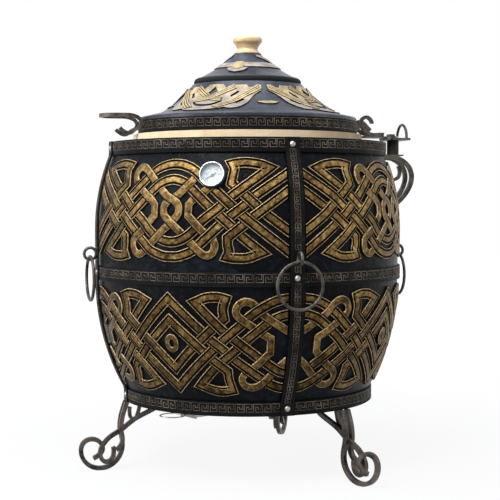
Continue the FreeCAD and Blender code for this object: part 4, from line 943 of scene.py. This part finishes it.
STONE = 2           # the lids' relief has this paint in place of the pale edge
LID_SECTION = [
    (-1.0, 1.2, GROOVE), (-0.88, 3.9, GOLD), (-0.80, 4.2, GOLD), (-0.36, 4.2, GROOVE), (-0.33, 2.8, GROOVE),
    (-0.19, 2.8, GROOVE), (-0.16, 4.2, GOLD), (0.26, 4.2, GROOVE), (0.29, 2.8, GROOVE), (0.43, 2.8, GROOVE),
    (0.46, 4.2, GOLD), (0.80, 4.2, GOLD), (0.88, 3.9, GROOVE), (1.0, 1.2, GROOVE),
]
LID_FOOT, LID_TOP, LID_CURVE = (191, 749.5), (118, 811), 170        # (radius, height) in mm
LID_SLOPE = 96.8
LID_DEGREE = math.pi / 180 * 155
BRIM_FALL = math.atan2(8.7, 38)
PLATE_SPLITS, PLATE_SUNK = 3, -1.0


def hollow_arc(low, high, curve):
    """Middle, first angle, sweep and radius of the hollow side between two (radius, height) points."""
    middle, middle_height = arc_through(low, high, curve, False)
    first, last = (math.atan2(height - middle_height, radius - middle) for radius, height in (low, high))
    return middle, middle_height, first, math.remainder(last - first, 2 * math.pi), curve


def on_cone(arc, turn, share, lift):
    """A point over a hollow-sided cone, a share of the way up its slope."""
    middle, middle_height, first, sweep, curve = arc
    angle, reach = first + sweep * share, curve - lift
    return round_axis(turn, middle + reach * math.cos(angle), middle_height + reach * math.sin(angle))


lid_arc = hollow_arc(LID_FOOT, LID_TOP, LID_CURVE)


def on_lid(turn, up, lift):
    """A point over the big lid: up is in mm from the foot of the cone, and below 0 it lies on the brim."""
    if up >= 0:
        return on_cone(lid_arc, turn, up / LID_SLOPE, lift)
    radius, height = LID_FOOT
    return round_axis(turn, radius - up * math.cos(BRIM_FALL), height + up * math.sin(BRIM_FALL) + lift)


def lay_plate(mesh, outline, holes, place_at, lift, paint=GOLD, fine=6):
    """A flat applique of clay with an outline and openings, pressed on a curved face; walls are dark."""
    flat = bmesh.new()
    for points in (outline, *holes):
        rim = [flat.verts.new((*point, 0)) for point in curve_through([*points, points[0]], fine)[:-1]]
        for one, two in zip(rim, rim[1:] + rim[:1]):
            flat.edges.new((one, two))
    bmesh.ops.triangle_fill(flat, use_beauty=True, edges=flat.edges[:], normal=(0, 0, 1))
    for _ in range(PLATE_SPLITS):
        long = [e for e in flat.edges if e.calc_length() > fine * 1.6]
        bmesh.ops.subdivide_edges(flat, edges=long, cuts=1)
        bmesh.ops.triangulate(flat, faces=flat.faces[:])
    rim = [e for e in flat.edges if e.is_boundary]
    top = {v: mesh.verts.new(place_at(v.co.x, v.co.y, lift)) for v in flat.verts}
    foot = {}
    for side in rim:
        for v in side.verts:
            if v not in foot:
                foot[v] = mesh.verts.new(place_at(v.co.x, v.co.y, PLATE_SUNK))
    for face in flat.faces:
        new = mesh.faces.new([top[v] for v in face.verts])
        new.material_index, new.smooth = paint, True
    for side in rim:
        one = side.link_loops[0].vert
        two = side.other_vert(one)
        mesh.faces.new((top[two], top[one], foot[one], foot[two])).material_index = GROOVE
    flat.free()


# one knot of the big lid: degrees from its middle, mm up the slope
knot_half = [
    (0, -21), (5, -20), (9, -14), (12.5, -5), (15.5, 3, SHARP), (17.5, -3), (20, -7), (22.5, -3), (25, 5),
    (30, 25), (34, 48), (37.5, 60), (41.8, 68, SHARP), (42.3, 84, SHARP), (38.5, 84, SHARP),
    (34, 77, SHARP), (31, 77, SHARP), (29.5, 84, SHARP), (18.5, 83.5, SHARP), (11.5, 72.5, SHARP),
    (7.5, 86, SHARP), (0, 87),
]
slots_half = [
    [(16.3, 47.5, SHARP), (17.2, 54, SHARP), (22, 66.5, SHARP), (23.6, 62, SHARP), (18, 46, SHARP)],
    [(21.2, 22, SHARP), (22, 28, SHARP), (26.8, 39.5, SHARP), (27.8, 34.5, SHARP), (22.6, 20.5, SHARP)],
]
window = [(-6, 58, SHARP), (0, 80, SHARP), (6.5, 59, SHARP), (1.5, 54)]
smile = [
    (-11.5, 34, SHARP), (-8, 24.5), (-2, 19.5), (4, 20.5), (11.5, 34.5, SHARP), (12, 29, SHARP), (6, 12.5),
    (0, 9.5), (-6, 12.5), (-12, 29, SHARP),
]
crescent = [
    (-8, 27.5, SHARP), (-4, 30.5), (0, 31.5), (4, 30.5), (8, 27.5, SHARP), (4, 22.5), (0, 20.5), (-4, 22.5),
]
bands_half = [
    [(-10.5, 37), (-6, 39), (0, 45), (6.5, 57.5), (13, 69), (19.5, 79.5)],
    [(9, 2), (13.5, 14), (20.5, 31), (26.5, 49), (33, 63.5), (41, 78)],
]
KNOT_TURNS, CRESCENT_TURN = (-30, 60, 150, 240), 44.5
KNOT_LIFT, KNOT_BAND_HALF = 2.4, 8.0


def in_mm(points, degree, turn=0.0):
    """A line drawn in degrees, turned on and laid out in mm."""
    return [((x + turn) * degree, *rest) for x, *rest in points]


mesh = bmesh.new()
for middle in KNOT_TURNS:
    def on_knot(x, y, lift):
        return on_lid(middle + x / LID_DEGREE, y, lift)

    holes = [in_mm(window, LID_DEGREE), in_mm(smile, LID_DEGREE)]
    for opening in slots_half:
        holes += [in_mm(opening, LID_DEGREE), in_mm(mirrored(opening), LID_DEGREE)]
    lay_plate(mesh, in_mm(both_halves(knot_half)[:-1], LID_DEGREE), holes, on_knot, KNOT_LIFT, STONE)
    lay_plate(mesh, in_mm(crescent, LID_DEGREE, CRESCENT_TURN), (), on_knot, KNOT_LIFT)
    bands = [Strap(in_mm(line, LID_DEGREE), KNOT_BAND_HALF, LID_SECTION, step=4)
             for half in bands_half for line in (half, mirrored(half))]
    find_crossings(bands)
    for band in bands:
        lay_strap(mesh, band, on_knot, gap=0.6)
lid_knots = finish_relief("lid_knot_appliques", mesh, (pale_gold, groove, stone_grey))
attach(lid_knots, "lid")

# the small lid has a plain pale ring round its cone, two shield-shaped tabs over it and, between them,
# straps that climb to the knob and cross
top_arc = hollow_arc((105, 825.3), (30, 876), 260)
TOP_SLOPE = 91.0
TOP_DEGREE = math.pi / 180 * 75
TOP_RING_UP, TOP_RING_HALF, CLIMB_HALF = 48.5, 9.5, 4.2
TAB_TURNS = (-16, 164)
BAND_SECTION = [
    (-1.0, -0.6, GROOVE), (-0.96, 1.8, STONE), (-0.8, 2.2, STONE), (0.0, 2.3, STONE), (0.8, 2.2, STONE),
    (0.96, 1.8, GROOVE), (1.0, -0.6, GROOVE),
]
shield = [(-8, 58, SHARP), (8, 58, SHARP), (10.5, 40, SHARP), (8, 31), (0, 25), (-8, 31), (-10.5, 40, SHARP)]
shield_foot = [
    (-17, 33, SHARP), (-9, 33.5), (0, 30), (9, 33.5), (17, 33, SHARP), (10, 19), (0, 11.5, SHARP), (-10, 19),
]
climb = [(44, 84), (60, 79), (78, 68), (96, 52)]


def on_top_lid(x, y, lift):
    return on_cone(top_arc, x / TOP_DEGREE, y / TOP_SLOPE, lift)


mesh = bmesh.new()
around = [(turn * TOP_DEGREE, TOP_RING_UP) for turn in range(0, 361, 10)]
lay_strap(mesh, Strap(around, TOP_RING_HALF, BAND_SECTION, step=4), on_top_lid, ring=True)
for turn in TAB_TURNS:
    lay_plate(mesh, in_mm(shield_foot, TOP_DEGREE, turn), (), on_top_lid, 2.6, STONE, fine=4)
    lay_plate(mesh, in_mm(shield, TOP_DEGREE, turn), (), on_top_lid, 3.6, GOLD, fine=4)
    for side in (1, -1):
        path = in_mm([(side * x, y) for x, y in climb], TOP_DEGREE, turn)
        lay_strap(mesh, Strap(path, CLIMB_HALF, BAND_SECTION, step=4), on_top_lid)
top_band = finish_relief("vent_lid_band", mesh, (pale_gold, groove, stone_grey))
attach(top_band, "vent_lid_body")

# ---------------------------------------------------------------- knob
# Turned from pale wood and varnished, with rings of grain that show on its waist. It is screwed down
# on the small lid through a round forged plate.
wood = Finish("turned_pale_wood", Coat_Weight=0.25)
grain = wood.noise(26, 4, 0.6, 0.4, (1, 1, 5))
fine_grain = wood.noise(240, 3, 0.6, 0.2, (1, 1, 6))
wood.set("Base Color", (grain * 0.65 + fine_grain * 0.35).colours(
    (0.32, (0.40, 0.25, 0.12)), (0.5, (0.58, 0.41, 0.225)), (0.68, (0.73, 0.58, 0.37))))
wood.set("Roughness", grain.between(0.3, 0.7, 0.38, 0.5))
wood.bump(fine_grain, 0.0003)
wood.dress("knob")


# ---------------------------------------------------------------- studio
# A pale floor that runs out of sight and a pale surround, which look white but throw little light on
# the oven, and large soft lamps: warm from the left front, cool from above, two low at the sides.
def sees_white(tree):
    """1 where the eye, a mirror or glass sees the studio, and 0 where the studio lights the oven."""
    rays = tree.nodes.new("ShaderNodeLightPath").outputs
    eye, gloss, glass = (Paint(tree, rays[f"Is {ray} Ray"]) for ray in ("Camera", "Glossy", "Transmission"))
    return eye.sum_of("MAXIMUM", eye.sum_of("MAXIMUM", eye, gloss), glass)


FLOOR_HALF = 9
NEAR, FAR = 0.5, 1.9        # metres from the oven, between which the floor turns white
floor_mesh = bpy.data.meshes.new("studio_floor")
floor_mesh.from_pydata([(x * FLOOR_HALF, y * FLOOR_HALF, 0) for x, y in ((-1, -1), (1, -1), (1, 1), (-1, 1))],
                       [], [(0, 1, 2, 3)])
studio_floor = bpy.data.objects.new("studio_floor", floor_mesh)
bpy.context.scene.collection.objects.link(studio_floor)
floor = Finish("studio_floor_paint", Base_Color=(0.42, 0.42, 0.42), Roughness=0.9)
reach = floor.place.make("ShaderNodeVectorMath", {"operation": "LENGTH"}, {0: floor.place}, out=1)
fade = reach.make("ShaderNodeMapRange", {}, {0: reach, 1: NEAR, 2: FAR, 3: 0.87, 4: 1.0})
glow = reach.make("ShaderNodeEmission", {}, {"Color": (1, 1, 1, 1), "Strength": 1.04})
blend = reach.make("ShaderNodeMixShader", {}, {
    0: sees_white(floor.tree) * fade, 1: Paint(floor.tree, floor.shader.outputs[0]), 2: glow})
floor.tree.links.new(blend.socket, floor.tree.nodes["Material Output"].inputs[0])
floor_mesh.materials.append(floor.material)

world = bpy.data.worlds.new("studio_surround")
bpy.context.scene.world = world
world.use_nodes = True
tree = world.node_tree
soft = tree.nodes["Background"]
soft.inputs["Color"].default_value = (0.86, 0.92, 1.0, 1)
soft.inputs["Strength"].default_value = 0.17
seen = sees_white(tree)
white = seen.make("ShaderNodeBackground", {}, {"Color": (1, 1, 1, 1), "Strength": 1.0})
blend = seen.make("ShaderNodeMixShader", {}, {0: seen, 1: Paint(tree, soft.outputs[0]), 2: white})
tree.links.new(blend.socket, tree.nodes["World Output"].inputs[0])

for name, place, aim, size, power, tint in (
    ("key_lamp", (-1.2, -2.1, 2.7), (0, 0, 0.45), 1.0, 78, (1.0, 0.96, 0.90)),
    ("sky_lamp", (-0.3, -0.6, 2.6), (0, 0, 0.6), 2.4, 88, (0.84, 0.91, 1.0)),
    ("left_lamp", (-2.6, -0.9, 1.3), (0, 0, 0.5), 1.2, 34, (0.90, 0.95, 1.0)),
    ("right_lamp", (2.6, -0.6, 1.1), (0, 0, 0.5), 1.0, 10, (1.0, 0.98, 0.95)),
):
    data = bpy.data.lights.new(name, "AREA")
    data.size = size
    data.energy = power
    data.color = tint
    lamp = bpy.data.objects.new(name, data)
    lamp.location = place
    lamp.rotation_euler = (Vector(aim) - Vector(place)).to_track_quat("-Z", "Y").to_euler()
    bpy.context.scene.collection.objects.link(lamp)

bpy.context.scene.view_settings.view_transform = "Standard"
